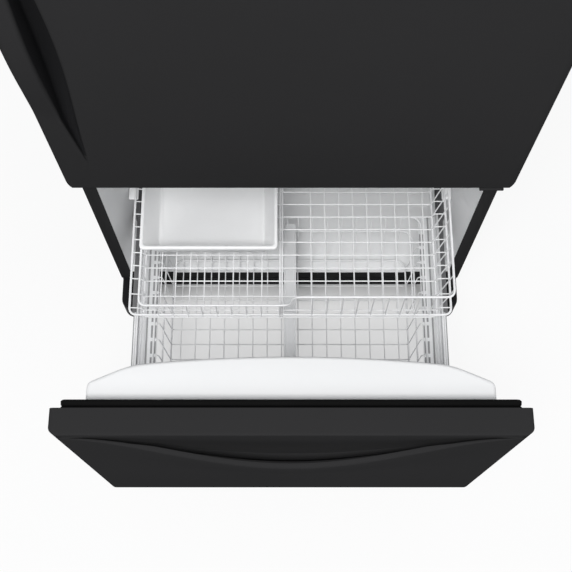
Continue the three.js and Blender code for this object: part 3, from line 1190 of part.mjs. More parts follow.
function machineCover() {
  const half = HALF - SHEET - GAP;
  const plate = block([-half, half], [CABINET_DEPTH - SHEET, CABINET_DEPTH], [roomFloor, MACHINE_ROOM_TOP]);
  const vents = spread(5, roomFloor + 30, MACHINE_ROOM_TOP - 30).flatMap((z) => spread(4, -HALF + 146, HALF - 266)
    .map((x) => block([x - 50, x + 50], [-FAR, FAR], [z - 4, z + 4])));
  const inletX = HALF - 96.5;
  const inletZ = roomFloor + 60;
  const inlet = block([inletX - 18, inletX + 18], [CABINET_DEPTH - 14, CABINET_DEPTH], [inletZ - 13, inletZ + 13]);
  const socket = block([inletX - 13, inletX + 13], [CABINET_DEPTH - 11, FAR], [inletZ - 8, inletZ + 8]);
  return cut(plate.add(inlet), [...vents, socket]);
}

add(cabinet, 'compressor', compressor(), blackPaint);
add(cabinet, 'condenser', condenser(), copper);
add(cabinet, 'condenser_fan', fan('x', [FAN_X, COMPRESSOR.y, fanAxisZ], 16), blackPlastic);
add(cabinet, 'fan_bracket', fanBracket(), zincSteel);
add(cabinet, 'drain_pan', tray([CONDENSER.x[0] + 12, CONDENSER.x[1] - 12], [CONDENSER.y[0] + 4, CONDENSER.y[1] - 4],
  [roomFloor, roomFloor + 12], 2), blackPlastic);
add(cabinet, 'machine_cover', machineCover(), grayPaint);

export default refrigerator;
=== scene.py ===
import json
from math import asin, copysign, cos, pi, radians, sin, sqrt, tau
import bmesh
import bpy
from mathutils import Matrix, Vector

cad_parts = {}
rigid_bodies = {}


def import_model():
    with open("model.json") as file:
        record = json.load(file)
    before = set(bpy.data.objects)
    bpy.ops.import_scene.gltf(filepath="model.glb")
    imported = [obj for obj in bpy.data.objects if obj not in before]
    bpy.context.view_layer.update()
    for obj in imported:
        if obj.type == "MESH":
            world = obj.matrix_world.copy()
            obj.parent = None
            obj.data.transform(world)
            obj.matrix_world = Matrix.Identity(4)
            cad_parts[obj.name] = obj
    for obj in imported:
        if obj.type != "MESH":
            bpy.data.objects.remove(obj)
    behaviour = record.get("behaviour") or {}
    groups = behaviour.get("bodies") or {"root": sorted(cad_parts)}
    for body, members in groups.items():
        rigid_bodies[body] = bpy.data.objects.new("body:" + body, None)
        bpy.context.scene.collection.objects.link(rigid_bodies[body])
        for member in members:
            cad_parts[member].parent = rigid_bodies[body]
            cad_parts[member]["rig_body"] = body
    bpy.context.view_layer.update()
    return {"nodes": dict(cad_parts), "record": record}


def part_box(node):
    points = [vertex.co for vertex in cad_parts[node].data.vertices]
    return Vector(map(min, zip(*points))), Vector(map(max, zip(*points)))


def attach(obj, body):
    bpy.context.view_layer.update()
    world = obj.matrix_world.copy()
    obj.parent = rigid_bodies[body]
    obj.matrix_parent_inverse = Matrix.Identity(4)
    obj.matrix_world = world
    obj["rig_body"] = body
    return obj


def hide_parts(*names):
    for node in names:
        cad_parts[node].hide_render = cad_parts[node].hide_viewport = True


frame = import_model()

# Pieces are drawn in millimetres as they stand with everything shut, Y = 0 at the cabinet's front edge,
# X = 0 in its middle and Z = 0 on the floor.
MM = 0.001
SIDES = ((-1, "left"), (1, "right"))
CABINET_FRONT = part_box("cabinet_shell")[0].y
CABINET_BACK = 740
SLOTS = {part["node"]: part["material_slot"] for part in frame["record"]["subparts"]}

# How far the freezer's moving pieces stand out at rest.
DRAWER_OUT = 459
SLIDE_OUT = DRAWER_OUT / 2
BASKET_OUT = 302

# The door and drawer panels: half their width, their two faces, their ends and their roundings.
HALF = 416.5
PANEL_FRONT = -67
PANEL_BACK = -19
DOOR_LOW, DOOR_HIGH = 745, 1740
DRAWER_LOW, DRAWER_HIGH = 88, 738
LEVEL_EDGE = 4
UPRIGHT_EDGE = 18
DRAWER_CORNER = 8
DOOR_CORNER = 14

# The hand grip at the door's left edge: its pocket, its bulge and the line of its ridge.
GRIP_LOW, GRIP_HIGH = 847, 1560
BULGE_LOW, BULGE_HIGH = 1008, 1408
RIDGE_X = -HALF + 44
TIP_X = -HALF + 62

# How the drawer's lip fades into its face: distance below the crest, share of the lip that is left.
LIP_FADE = ((14, 0.995), (30, 0.97), (60, 0.9), (90, 0.8), (125, 0.66), (160, 0.5), (195, 0.34), (230, 0.2),
            (265, 0.08), (300, 0.02))

# The outer half of the seal's section as (inset, y) pairs, and the inset of its middle.
SEAL_HALF = [(0, -19), (0, -17), (2.5, -15.6), (1, -13.4), (3, -11.6), (1.2, -9.2), (0.6, -3), (2.4, -0.6),
             (6, -0.3)]
SEAL_MIDDLE = 11

# The drawer slides, and the loops by which the lower basket hangs on them.
SLIDE_SPAN = (68, 538)
SLIDE_WIDTH = 10
SLIDE_WALL = 3.4
LOOP_PITCH = 36.8
BASKET_LOOPS = [121.9 + LOOP_PITCH * i for i in range(10)]

# The glass shelves: their upper faces and how far they reach from front to back.
SHELF_LEVELS = {"lower": 1170, "middle": 1350, "upper": 1530}
SHELF_SPAN = (115, 560)

# The view that the pieces were measured in.
CAMERA_PLACE = (-9, -868.7, 2427)
CAMERA_TILT = 19.94
CAMERA_LENS = 63.13


def placement(out=0.0):
    """From a shut piece in millimetres to its place at rest in the row frame."""
    return Matrix.Translation((0, CABINET_FRONT - out * MM, 0)) @ Matrix.Scale(MM, 4)


# ---- finishes

class Value:
    """One socket of a finish; arithmetic on it adds the nodes that work it out."""

    def __init__(self, finish, socket):
        self.finish = finish
        self.socket = socket

    def __add__(self, other):
        return self.finish.math("ADD", self, other)

    def __sub__(self, other):
        return self.finish.math("SUBTRACT", self, other)

    def __rsub__(self, other):
        return self.finish.math("SUBTRACT", other, self)

    def __mul__(self, other):
        return self.finish.math("MULTIPLY", self, other)

    __radd__ = __add__
    __rmul__ = __mul__


class Finish:
    """The nodes of a material or of the world: one shader with fixed numbers, and what varies over it."""

    def __init__(self, owner, shader="BsdfPrincipled", fixed=None, output="OutputMaterial"):
        self.owner = owner
        owner.use_nodes = True
        self.tree = owner.node_tree
        self.tree.nodes.clear()
        self.shader = self.node(shader, fixed or {})
        self.node(output, {"Surface": self.shader}, None)

    def node(self, kind, values, out=0, **settings):
        """Adds a node: its settings first, then the values or links of its sockets."""
        made = self.tree.nodes.new("ShaderNode" + kind)
        for name, value in settings.items():
            setattr(made, name, value)
        self.set(made, values)
        return None if out is None else Value(self, made.outputs[out])

    def set(self, made, values):
        for name, value in values.items():
            if isinstance(value, Value):
                self.tree.links.new(value.socket, made.inputs[name])
            else:
                made.inputs[name].default_value = value

    def feed(self, values):
        """Sets or links the shader's own sockets."""
        self.set(self.shader.socket.node, values)
        return self.owner

    def math(self, operation, left, right=0.0):
        return self.node("Math", {0: left, 1: right}, operation=operation)

    def place(self, stretch=(1, 1, 1)):
        """Object coordinates in metres, stretched for a pattern that runs one way."""
        where = self.node("TexCoord", {}, "Object")
        return self.node("Mapping", {"Vector": where, "Scale": stretch})

    def noise(self, scale, detail=3.0, roughness=0.5, stretch=(1, 1, 1)):
        return self.node("TexNoise", {
            "Vector": self.place(stretch), "Scale": scale, "Detail": detail, "Roughness": roughness}, "Fac")

    def along(self, axis):
        return self.node("SeparateXYZ", {"Vector": self.place()}, axis)

    def step(self, value, low, high):
        """0 below low and 1 above high, smooth between."""
        return self.node("MapRange", {"Value": value, "From Min": low, "From Max": high},
                         interpolation_type="SMOOTHSTEP")

    def tint(self, factor, first, second):
        """Mixes two (red, green, blue) colours."""
        return self.node("Mix", {0: factor, 6: (*first, 1), 7: (*second, 1)}, 2, data_type="RGBA")

    def bump(self, height, distance):
        return self.node("Bump", {"Height": height, "Distance": distance})


def coat(name, fixed=None):
    return Finish(bpy.data.materials.new(name), fixed=fixed)


def black_enamel():
    """Baked black paint: a faint orange peel, a wide cloudiness and a few dull specks."""
    paint = coat("black_enamel", {"IOR": 1.45, "Specular IOR Level": 0.0})
    peel = paint.noise(430, 2)
    speck = paint.step(paint.noise(1900, 1), 0.62, 0.75)
    cloud = paint.noise(2.4, 4)
    return paint.feed({
        "Base Color": paint.tint(cloud, (0.026, 0.026, 0.0265), (0.031, 0.0306, 0.0315)),
        "Roughness": cloud * 0.08 + speck * 0.1 + 0.42,
        "Normal": paint.bump(peel + speck * 0.4, 0.00008)})


def moulding(name, low, high, rough, grain=900, depth=0.00004, fixed=None, relief=0.0):
    """Moulded plastic or a dipped coating: fine grain, slow changes of tone, dulled patches."""
    plastic = coat(name, {"IOR": 1.49, **(fixed or {})})
    fine = plastic.noise(grain, 2)
    wide = plastic.noise(5, 3)
    rubbed = plastic.step(plastic.noise(38, 5), 0.58, 0.75)
    height = fine + plastic.noise(26, 1) * relief
    return plastic.feed({
        "Base Color": plastic.tint(wide * 0.75 + rubbed * 0.25, low, high),
        "Roughness": wide * 0.08 + fine * 0.06 + rubbed * 0.05 + rough,
        "Normal": plastic.bump(height, depth)})


def steel(name, low, high, rough, metallic=0.92, worn=0.0):
    """Rolled or plated sheet: drawn from front to back, with spangle and darker handled places."""
    metal = coat(name)
    drawn = metal.noise(300, 3, 0.6, stretch=(1, 0.06, 1))
    spangle = metal.node("TexVoronoi", {"Vector": metal.place(), "Scale": 140}, "Color")
    flake = metal.node("SeparateColor", {"Color": spangle})
    handled = metal.step(metal.noise(9, 4), 0.5, 0.72)
    return metal.feed({
        "Base Color": metal.tint(drawn * 0.6 + flake * 0.3 - handled * worn, low, high),
        "Metallic": flake * 0.05 + metallic,
        "Roughness": drawn * 0.14 + handled * 0.08 + rough,
        "Normal": metal.bump(drawn, 0.00002)})


def see_through(name, tint, rough, alpha, edge_alpha):
    """Clear sheet or tray: nearly invisible square on, denser where it turns away."""
    sheet = coat(name, {"IOR": 1.5})
    smear = sheet.noise(14, 4)
    edge = sheet.node("LayerWeight", {"Blend": 0.3}, "Facing")
    return sheet.feed({
        "Base Color": sheet.tint(smear, tint, [min(1, t * 1.05) for t in tint]),
        "Roughness": smear * 0.06 + rough,
        "Alpha": edge * (edge_alpha - alpha) + smear * 0.04 + alpha,
        "Normal": sheet.bump(sheet.noise(240, 2), 0.00002)})


def frosted_moulding():
    """The divider's milky plastic, denser where it turns away."""
    milky = coat("milky_divider", {"IOR": 1.49})
    cloud = milky.noise(11, 4)
    edge = milky.node("LayerWeight", {"Blend": 0.4}, "Facing")
    return milky.feed({
        "Base Color": milky.tint(cloud, (0.88, 0.886, 0.895), (0.92, 0.924, 0.93)),
        "Roughness": cloud * 0.1 + 0.28,
        "Alpha": edge * 0.15 + cloud * 0.05 + 0.82,
        "Normal": milky.bump(milky.noise(700, 2), 0.00003)})


def insulation_skin():
    """Cast foam: small cells on a swelling surface."""
    foam = coat("cast_foam")
    cells = foam.node("TexVoronoi", {"Vector": foam.place(), "Scale": 320}, "Distance")
    swell = foam.noise(16, 4)
    return foam.feed({
        "Base Color": foam.tint(swell, (0.56, 0.47, 0.29), (0.7, 0.62, 0.42)),
        "Roughness": cells * 0.1 + 0.82,
        "Normal": foam.bump(cells * 0.5 + swell * 3, 0.0007)})


WHITE = (1, 1, 1, 1)
DULL = {"Specular IOR Level": 0.02}
FINISH = {
    "black_paint": black_enamel(),
    "grey_paint": moulding("back_sheet_grey", (0.026, 0.026, 0.028), (0.036, 0.036, 0.038), rough=0.5,
                           grain=500, depth=0.00006),
    "foam": insulation_skin(),
    "white_plastic": moulding("white_liner", (0.905, 0.91, 0.915), (0.93, 0.933, 0.936), rough=0.34,
                              relief=0.6),
    "zinc_steel": steel("zinc_steel", (0.78, 0.785, 0.795), (0.88, 0.884, 0.89), rough=0.36, metallic=0.22,
                        worn=0.25),
    "dark_steel": steel("dark_steel", (0.13, 0.13, 0.134), (0.2, 0.2, 0.206), rough=0.36, metallic=0.7),
    "black_plastic": moulding("black_plastic", (0.011, 0.011, 0.012), (0.017, 0.017, 0.018), rough=0.42,
                              grain=700, depth=0.00007, fixed=DULL),
    "black_rubber": moulding("black_rubber", (0.005, 0.005, 0.005), (0.008, 0.008, 0.008), rough=0.62,
                             grain=1200, depth=0.00003, fixed=DULL),
    "white_wire": moulding("white_wire_coating", (0.87, 0.873, 0.88), (0.91, 0.912, 0.917), rough=0.3,
                           grain=500, depth=0.00008),
    "glass": see_through("shelf_glass", (0.62, 0.76, 0.72), rough=0.03, alpha=0.14, edge_alpha=0.85),
    "clear_plastic": see_through("clear_tray_plastic", (0.78, 0.83, 0.88), rough=0.1, alpha=0.3,
                                 edge_alpha=0.95),
    "aluminium": steel("aluminium_fins", (0.62, 0.63, 0.64), (0.78, 0.785, 0.79), rough=0.34),
}
BIN_PLASTIC = moulding("ice_bin_plastic", (0.89, 0.893, 0.897), (0.92, 0.922, 0.925), rough=0.26, grain=1100,
                       depth=0.00003)
DIVIDER_PLASTIC = frosted_moulding()
DRAWER_WALL = moulding("drawer_wall_white", (0.835, 0.84, 0.845), (0.86, 0.863, 0.866), rough=0.34,
                       relief=0.6)
# A grey finish that paints the shade inside the slide's slots and narrow grooves.
SLOT_SHADOW = moulding("slide_slot_painted_shade", (0.3, 0.302, 0.306), (0.36, 0.362, 0.366), rough=0.5)


# ---- camera, floor and light

def set_camera():
    camera = bpy.data.objects.new("camera", bpy.data.cameras.new("camera"))
    camera.data.lens = CAMERA_LENS
    camera.data.sensor_width = 36
    camera.data.clip_end = 50
    camera.location = placement() @ Vector(CAMERA_PLACE)
    camera.rotation_euler = (radians(CAMERA_TILT), 0, 0)
    bpy.context.scene.collection.objects.link(camera)
    bpy.context.scene.camera = camera


def soft_lamp(name, place, target, size, watts):
    """A rectangular lamp, its place and target in metres."""
    lamp = bpy.data.lights.new(name, "AREA")
    lamp.shape = "RECTANGLE"
    lamp.size, lamp.size_y = size
    lamp.energy = watts
    holder = bpy.data.objects.new(name, lamp)
    holder.location = place
    holder.rotation_euler = (Vector(target) - Vector(place)).to_track_quat("-Z", "Y").to_euler()
    bpy.context.scene.collection.objects.link(holder)


def seen_rays(finish):
    """1 for rays from the camera, a mirror or through glass, 0 for those that only light things."""
    rays = finish.node("LightPath", {}, "Is Camera Ray").socket.node
    seen = Value(finish, rays.outputs["Is Camera Ray"])
    for other in ("Is Glossy Ray", "Is Transmission Ray"):
        seen = finish.math("MAXIMUM", seen, Value(finish, rays.outputs[other]))
    return seen


def light_world():
    """White where it is seen, a soft fill where it only lights."""
    world = Finish(bpy.data.worlds.new("studio"), "MixShader", output="OutputWorld")
    fill = world.node("Background", {"Color": (0.95, 0.97, 1, 1), "Strength": 0.38})
    paper = world.node("Background", {"Color": WHITE, "Strength": 1})
    bpy.context.scene.world = world.feed({0: seen_rays(world), 1: fill, 2: paper})


def pale_floor():
    """A matt floor that the camera sees mixed with white paper, least of it under the appliance and just in
    front of it, which paints shade there where the appliance's shadow falls; the matt floor's own shadow
    shows through it.
    """
    paper_share = 0.88
    under_drawer = 0.55
    floor = Finish(bpy.data.materials.new("pale_floor"), "MixShader")
    cloud = floor.noise(3, 3)
    matt = floor.node("BsdfDiffuse", {"Color": floor.tint(cloud, [0.8] * 3, [0.82] * 3)})
    paper = floor.node("Emission", {"Color": WHITE, "Strength": 1})
    # These masks are painted shade: the paper's glow fades out under the cabinet, in the strip just before it
    # and under the drawer, so these places show darker.
    beside = floor.step(floor.math("ABSOLUTE", floor.along("X")), 0.32, 0.38)
    ahead = CABINET_FRONT - floor.along("Y")
    before_cabinet = floor.step(ahead, -0.02, 0.05)
    before_drawer = floor.step(ahead, 0.4, 0.52)
    below = before_cabinet * under_drawer + before_drawer * (1 - under_drawer)
    behind = floor.step(ahead * -1, 0.7, 0.85)
    clear = floor.math("MAXIMUM", beside, floor.math("MAXIMUM", below, behind))
    return floor.feed({0: seen_rays(floor) * clear * paper_share, 1: matt, 2: paper})


# ---- making shapes

def mesh_object(name, bm, smooth_angle=None):
    mesh = bpy.data.meshes.new(name)
    bm.to_mesh(mesh)
    bm.free()
    made = bpy.data.objects.new(name, mesh)
    bpy.context.scene.collection.objects.link(made)
    if smooth_angle is not None:
        mesh.shade_smooth()
        mesh.set_sharp_from_angle(angle=radians(smooth_angle))
    return made


def stand(name, bm, node, out=0.0, finish=None, slot=None, smooth=32, outward=True, replaces=True):
    """Makes a drawn piece an object at its place, riding where the node that it stands for rides."""
    if outward:
        bmesh.ops.recalc_face_normals(bm, faces=bm.faces)
    bmesh.ops.transform(bm, matrix=placement(out), verts=bm.verts)
    piece = mesh_object(name, bm, smooth)
    slot = slot or SLOTS[node]
    piece.data.materials.append(finish or FINISH[slot])
    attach(piece, frame["nodes"][node]["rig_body"])
    if replaces:
        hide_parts(node)
    return piece


def sweep(bm, outlines, join=False):
    """Carries a closed outline from station to station, each with as many corners as the first."""
    verts = [bm.verts.new(p) for p in outlines[0]]
    loop = [bm.edges.new((verts[i - 1], verts[i])) for i in range(len(verts))]
    first = loop
    for outline in outlines[1:]:
        index = {v: i for i, v in enumerate(verts)}
        grown = bmesh.ops.extrude_edge_only(bm, edges=loop)["geom"]
        for fresh in (g for g in grown if isinstance(g, bmesh.types.BMVert)):
            old = next(e.other_vert(fresh) for e in fresh.link_edges if e.other_vert(fresh) in index)
            verts[index[old]] = fresh
        for v, p in zip(verts, outline):
            v.co = p
        loop = [bm.edges.get((verts[i - 1], verts[i])) for i in range(len(verts))]
    if join:
        bmesh.ops.bridge_loops(bm, edges=first + loop)
    else:
        for end in (first, loop):
            bmesh.ops.contextual_create(bm, geom=end)


def draw_along(bm, side, profile):
    """Sweeps (x, z) pairs along the slide's run, on the left (-1) or right (1)."""
    sweep(bm, [[(side * x, y, z) for x, z in profile] for y in SLIDE_SPAN])


def arc(start, corner, end, steps):
    """The points of a rounding from start to end, drawn towards the corner."""
    return [start * (1 - t) ** 2 + corner * 2 * t * (1 - t) + end * t * t
            for t in (k / steps for k in range(steps + 1))]


def turned_path(points, radius, steps=4, closed=False):
    """A path through points with its corners rounded."""
    points = [Vector(p) for p in points]
    bent = []
    for i, corner in enumerate(points):
        if not closed and i in (0, len(points) - 1):
            bent.append(corner)
            continue
        before, after = points[i - 1] - corner, points[(i + 1) % len(points)] - corner
        reach = min(radius, before.length * 0.49, after.length * 0.49)
        bent += arc(corner + before.normalized() * reach, corner, corner + after.normalized() * reach, steps)
    return bent


def wire(bm, points, thickness, bend=0, steps=4, closed=False, sides=8):
    """Round wire along a path, its corners turned to a bend."""
    points = turned_path(points, bend, steps, closed) if bend else [Vector(p) for p in points]
    count = len(points)
    ahead = [(points[(i + 1) % count] if closed or i < count - 1 else points[i]) -
             (points[i - 1] if closed or i else points[i]) for i in range(count)]
    normal = ahead[0].normalized().orthogonal()
    rings = []
    for point, run in zip(points, ahead):
        run = run.normalized()
        normal = (normal - run * normal.dot(run)).normalized()
        across = run.cross(normal)
        rings.append([point + (normal * cos(a) + across * sin(a)) * thickness / 2
                      for a in (tau * k / sides for k in range(sides))])
    sweep(bm, rings, join=closed)


def rounded_rectangle(x0, x1, z0, z1, radius, steps=5):
    """Corners of a rounded rectangle, as pairs, from its lower left one round."""
    centres = ((x0 + radius, z0 + radius, 180), (x1 - radius, z0 + radius, 270),
               (x1 - radius, z1 - radius, 0), (x0 + radius, z1 - radius, 90))
    return [(cx + radius * cos(radians(turn + 90 * k / steps)),
             cz + radius * sin(radians(turn + 90 * k / steps)))
            for cx, cz, turn in centres for k in range(steps + 1)]


def turned(points, radii, steps=4):
    """An open outline whose inner corners are rounded, each to its own radius."""
    bent = [Vector(points[0])]
    for i, radius in enumerate(radii, 1):
        corner = Vector(points[i])
        before, after = Vector(points[i - 1]) - corner, Vector(points[i + 1]) - corner
        start = corner + before * min(0.49, radius / max(before.length, 0.001))
        end = corner + after * min(0.49, radius / max(after.length, 0.001))
        bent += arc(start, corner, end, steps)
    bent.append(Vector(points[-1]))
    return [(p.x, p.y) for p in bent]


def bevel(bm, edges, radius, segments, clamp=False):
    """Rounds edges; clamp keeps the roundings from running into each other."""
    bmesh.ops.bevel(bm, geom=list(edges), offset=radius, segments=segments, profile=0.5, affect="EDGES",
                    material=-1, clamp_overlap=clamp)


def block(bm, x, y, z, radius, segments=2):
    """A block between pairs of bounds, with its edges rounded."""
    made = bmesh.ops.create_cube(bm, size=1)["verts"]
    size = Vector((x[1] - x[0], y[1] - y[0], z[1] - z[0]))
    middle = Vector((x[0] + x[1], y[0] + y[1], z[0] + z[1])) / 2
    bmesh.ops.transform(bm, matrix=Matrix.Translation(middle) @ Matrix.Diagonal((*size, 1)), verts=made)
    bevel(bm, {e for v in made for e in v.link_edges}, radius, segments)


def row(bm, axis, middles, half, first, second, radius, segments=1):
    """Equal blocks in a row along an axis, between two pairs of bounds on the other axes."""
    for middle in middles:
        bounds = [first, second]
        bounds.insert("xyz".index(axis), (middle - half, middle + half))
        block(bm, *bounds, radius, segments)


def mirrored(side, x0, x1):
    """Bounds in X between two distances from the middle, on the left or right."""
    return sorted((side * x0, side * x1))


def rounded(bm, radius, segments=2, angle=25, choose=lambda e: True):
    """Rounds every chosen edge that turns more than an angle."""
    edges = [e for e in bm.edges if len(e.link_faces) == 2 and e.calc_face_angle() > radians(angle)
             and choose(e)]
    bevel(bm, edges, radius, segments, clamp=True)


def lathe(bm, profile, centre, axis, steps=32):
    """Spins a profile of (radius, height) pairs a full turn about an axis through centre."""
    direction = Vector({"x": (1, 0, 0), "y": (0, 1, 0), "z": (0, 0, 1)}[axis])
    side = direction.orthogonal().normalized()
    verts = [bm.verts.new(Vector(centre) + side * r + direction * h) for r, h in profile]
    edges = [bm.edges.new(pair) for pair in zip(verts, verts[1:])]
    bmesh.ops.spin(bm, geom=verts + edges, cent=centre, axis=direction, angle=tau, steps=steps,
                   use_merge=True)
    bmesh.ops.remove_doubles(bm, verts=bm.verts, dist=0.001)


def copy_of(node, radius, segments=2, **how):
    """The solid of a node of the cabinet or door in millimetres, its flat faces joined and edges rounded."""
    bm = bmesh.new()
    bm.from_mesh(frame["nodes"][node].data)
    bmesh.ops.transform(bm, matrix=placement().inverted(), verts=bm.verts)
    bmesh.ops.remove_doubles(bm, verts=bm.verts, dist=0.002)
    bmesh.ops.dissolve_limit(bm, angle_limit=radians(1), verts=bm.verts, edges=bm.edges)
    rounded(bm, radius, segments, **how)
    return bm


def softened(node, radius, segments=2):
    """The node's own shape with its edges rounded."""
    stand(node + "_piece", copy_of(node, radius, segments), node, outward=False)


def smoothstep(value, low, high):
    t = min(1, max(0, (value - low) / (high - low)))
    return t * t * (3 - 2 * t)


def spread(count, low, high):
    """Evenly spaced values from low to high."""
    return [low + (high - low) * i / (count - 1) for i in range(count)]


# ---- cabinet, base and liners

def cabinet_pieces():
    for node, radius, segments in (
            ("cabinet_shell", 0.55, 2), ("mullion_rail", 0.4, 2), ("base_pan", 0.8, 2),
            ("toe_grille", 0.9, 2), ("hinge_cover", 3.5, 3), ("centre_hinge", 1.2, 2), ("top_hinge", 1.0, 2)):
        softened(node, radius, segments)
    for side, word in SIDES:
        foot_cover(side, "foot_cover_" + word)


def foot_cover(side, node):
    """The moulded cap over a levelling leg, its front corners and top edge rounded, open below and behind."""
    near, far, front, back, top = 336.5, HALF, -74, 7.8, 84
    corner, shoulder, wall = 25, 14, 2.6
    low, full = 5, 6.4

    def outline(inset, z):
        x0, x1, y0, bend = near + inset, far - inset, front + inset, corner - inset
        turns = [radians(t) for t in range(0, 91, 15)]
        outer = [(x1 - bend + bend * cos(t), y0 + bend - bend * sin(t)) for t in turns]
        inner = [(x0 + bend - bend * sin(t), y0 + bend - bend * cos(t)) for t in turns]
        return [(side * x, y, z) for x, y in [(x1, back)] + outer + inner + [(x0, back)]]

    bm = bmesh.new()
    turns = [pi / 2 * k / 6 for k in range(7)]
    curve = [(shoulder * (1 - cos(t)), top - shoulder + shoulder * sin(t)) for t in turns]
    sweep(bm, [outline(inset, z) for inset, z in [(1.2, low), (0, full)] + curve])
    gone = [f for f in bm.faces if all(v.co.z < low + 0.1 for v in f.verts) or
            all(v.co.y > back - 0.1 for v in f.verts)]
    bmesh.ops.delete(bm, geom=gone, context="FACES")
    bmesh.ops.recalc_face_normals(bm, faces=bm.faces)
    bmesh.ops.solidify(bm, geom=bm.faces, thickness=wall)
    block(bm, mirrored(side, 338, 415), (0.3, 7.6), (80, 93.5), 1.2)
    stand(node + "_cap", bm, node)


def back_sheets():
    bm = copy_of("back_panel", 0.3)
    for x in spread(5, -290, 290):
        wire(bm, [(x, CABINET_BACK - 1.4, 260), (x, CABINET_BACK - 1.4, 1670)], 2.4, sides=10)
    stand("back_sheet", bm, "back_panel", outward=False)
    softened("machine_cover", 0.35)


def liner_shell(name, node, half, floor, ceiling, rear, flare, mouth, hump, radius, extras):
    """The moulded inner box: its side profile drawn across, its mouth spread from flare forward, its
    corners rounded, then its wall. The hump is where the floor steps up and how high."""
    lip, wall = 1.2, 1.8
    mouth_half, mouth_floor, mouth_ceiling = mouth

    def at_mouth(v):
        return v.co.y < lip + 0.8

    def turns_inward(e):
        running = not any(at_mouth(v) for v in e.verts) or e.calc_length() > 20
        return running and any(abs(v.co.y - flare) > 0.1 for v in e.verts)

    profile = [(lip, mouth_floor), (flare, floor)]
    if hump:
        start, height = hump
        profile += [(start, floor), (start, height), (rear, height)]
    else:
        profile += [(rear, floor)]
    profile += [(rear, ceiling), (flare, ceiling), (lip, mouth_ceiling)]
    bm = bmesh.new()
    face = bm.faces.new([bm.verts.new((-half, y, z)) for y, z in profile])
    grown = bmesh.ops.extrude_face_region(bm, geom=[face])["geom"]
    far = [v for v in grown if isinstance(v, bmesh.types.BMVert)]
    bmesh.ops.translate(bm, vec=(half * 2, 0, 0), verts=far)
    bmesh.ops.bisect_plane(bm, geom=bm.verts[:] + bm.edges[:] + bm.faces[:], dist=0.001,
                           plane_co=(0, flare, 0), plane_no=(0, 1, 0))
    for v in bm.verts:
        if at_mouth(v):
            v.co.x = copysign(mouth_half, v.co.x)
    gone = [f for f in bm.faces if all(at_mouth(v) for v in f.verts)]
    bmesh.ops.delete(bm, geom=gone, context="FACES")
    rounded(bm, radius, segments=5, angle=20, choose=turns_inward)
    bmesh.ops.recalc_face_normals(bm, faces=bm.faces)
    bmesh.ops.solidify(bm, geom=bm.faces, thickness=-wall)
    extras(bm)
    stand(name, bm, node, smooth=40)


def freezer_ledges(bm):
    """The ledges that the upper basket runs on, and two beads along each side wall."""
    for side in (-1, 1):
        block(bm, mirrored(side, 336, 357), (69.2, 540), (400.2, 408.2), 2.5, 3)
        for z, span in ((330, (120, 470)), (520, (150, 600))):
            block(bm, mirrored(side, 353.2, 357), span, (z - 9, z + 9), 1.7)


def fresh_ledges(bm):
    """The ledges under the shelves and the crisper cover, and the deeper ones that carry the crispers."""
    for top in (*(level - 12 for level in SHELF_LEVELS.values()), 992):
        for side in (-1, 1):
            block(bm, mirrored(side, 350, 365), SHELF_SPAN, (top - 8, top), 2)
    for side in (-1, 1):
        block(bm, mirrored(side, 306, 365), SHELF_SPAN, (966.7, 974.7), 2)


def liners():
    liner_shell("freezer_liner_shell", "freezer_liner", half=356, floor=147.5, ceiling=694, rear=680,
                flare=100, mouth=(390, 131.5, 707.5), hump=(522, 215), radius=16, extras=freezer_ledges)
    liner_shell("fresh_liner_shell", "fresh_food_liner", half=364, floor=792, ceiling=1700, rear=695,
                flare=40, mouth=(390, 774.5, 1719.5), hump=None, radius=18, extras=fresh_ledges)


# ---- door and drawer panels

def corner_cut(radius, reach):
    """How far a rounding cuts in at a distance from the end that it rounds."""
    return radius - sqrt(max(0, radius ** 2 - max(0, radius - reach) ** 2))


def edge_curve(reach, end_edge, side_edge, corner, steps=6):
    """A panel's rounded front edge as (inset, depth) pairs, at a distance from the panel's end."""
    lowest = corner_cut(end_edge, reach)
    stop = asin(max(0, 1 - lowest / side_edge))
    curve = []
    for k in range(steps + 1):
        turn = stop * k / steps
        inset = side_edge * (1 - cos(turn))
        depth = max(lowest, side_edge * (1 - sin(turn)))
        curve.append((inset + corner_cut(max(1, corner - inset), reach), depth))
    return curve


def end_stations(low, high):
    """Stations across a panel's two rounded ends."""
    steps = [UPRIGHT_EDGE * (1 - cos(pi / 2 * k / 8)) for k in range(9)]
    return [low + s for s in steps], [high - s for s in reversed(steps)]


def ease_between(z, low, high):
    """0 at both ends and beyond them, 1 in the middle."""
    return sin(pi * min(1, max(0, (z - low) / (high - low))))


def door_outline(z):
    """The door cut level at a height: right edge, front with the hand pocket and the grip, left edge."""
    pocket_depth, bulge = 30, 16
    curve = edge_curve(min(z - DOOR_LOW, DOOR_HIGH - z), LEVEL_EDGE, UPRIGHT_EDGE, DOOR_CORNER)
    back, lowest = curve[0][0], curve[-1][1]
    right = [(HALF - inset, PANEL_FRONT + depth) for inset, depth in curve]
    ease = ease_between(z, GRIP_LOW - 4, GRIP_HIGH + 4)
    swell = bulge * ease_between(z, BULGE_LOW, BULGE_HIGH) ** 1.2
    wall_left = TIP_X - 1 + (RIDGE_X - TIP_X + 1) * min(1, ease * 1.6)
    wall_right = TIP_X + 1 + 16 * ease * ease
    floor = PANEL_FRONT + max(lowest, pocket_depth * ease)
    front = PANEL_FRONT + lowest
    soft = min(6, pocket_depth * ease * 0.4)
    nose = min(3.5, pocket_depth * ease * 0.4) + min(swell * 0.3, 3)
    pocket = turned([(wall_right + 24, front), (wall_right, front), (wall_right - 6 * ease, floor),
                     (wall_left + 2 * ease, floor), (wall_left, front - swell), (-HALF + 22, front - swell)],
                    [soft, soft, soft, nose])
    left = [(-HALF + inset, PANEL_FRONT + depth - swell * (1 - depth / UPRIGHT_EDGE) ** 0.5)
            for inset, depth in reversed(curve)]
    return ([(HALF - back, PANEL_BACK)] + right + [(150, front), (-150, front)] + pocket + left +
            [(-HALF + back, PANEL_BACK), (0, PANEL_BACK)])


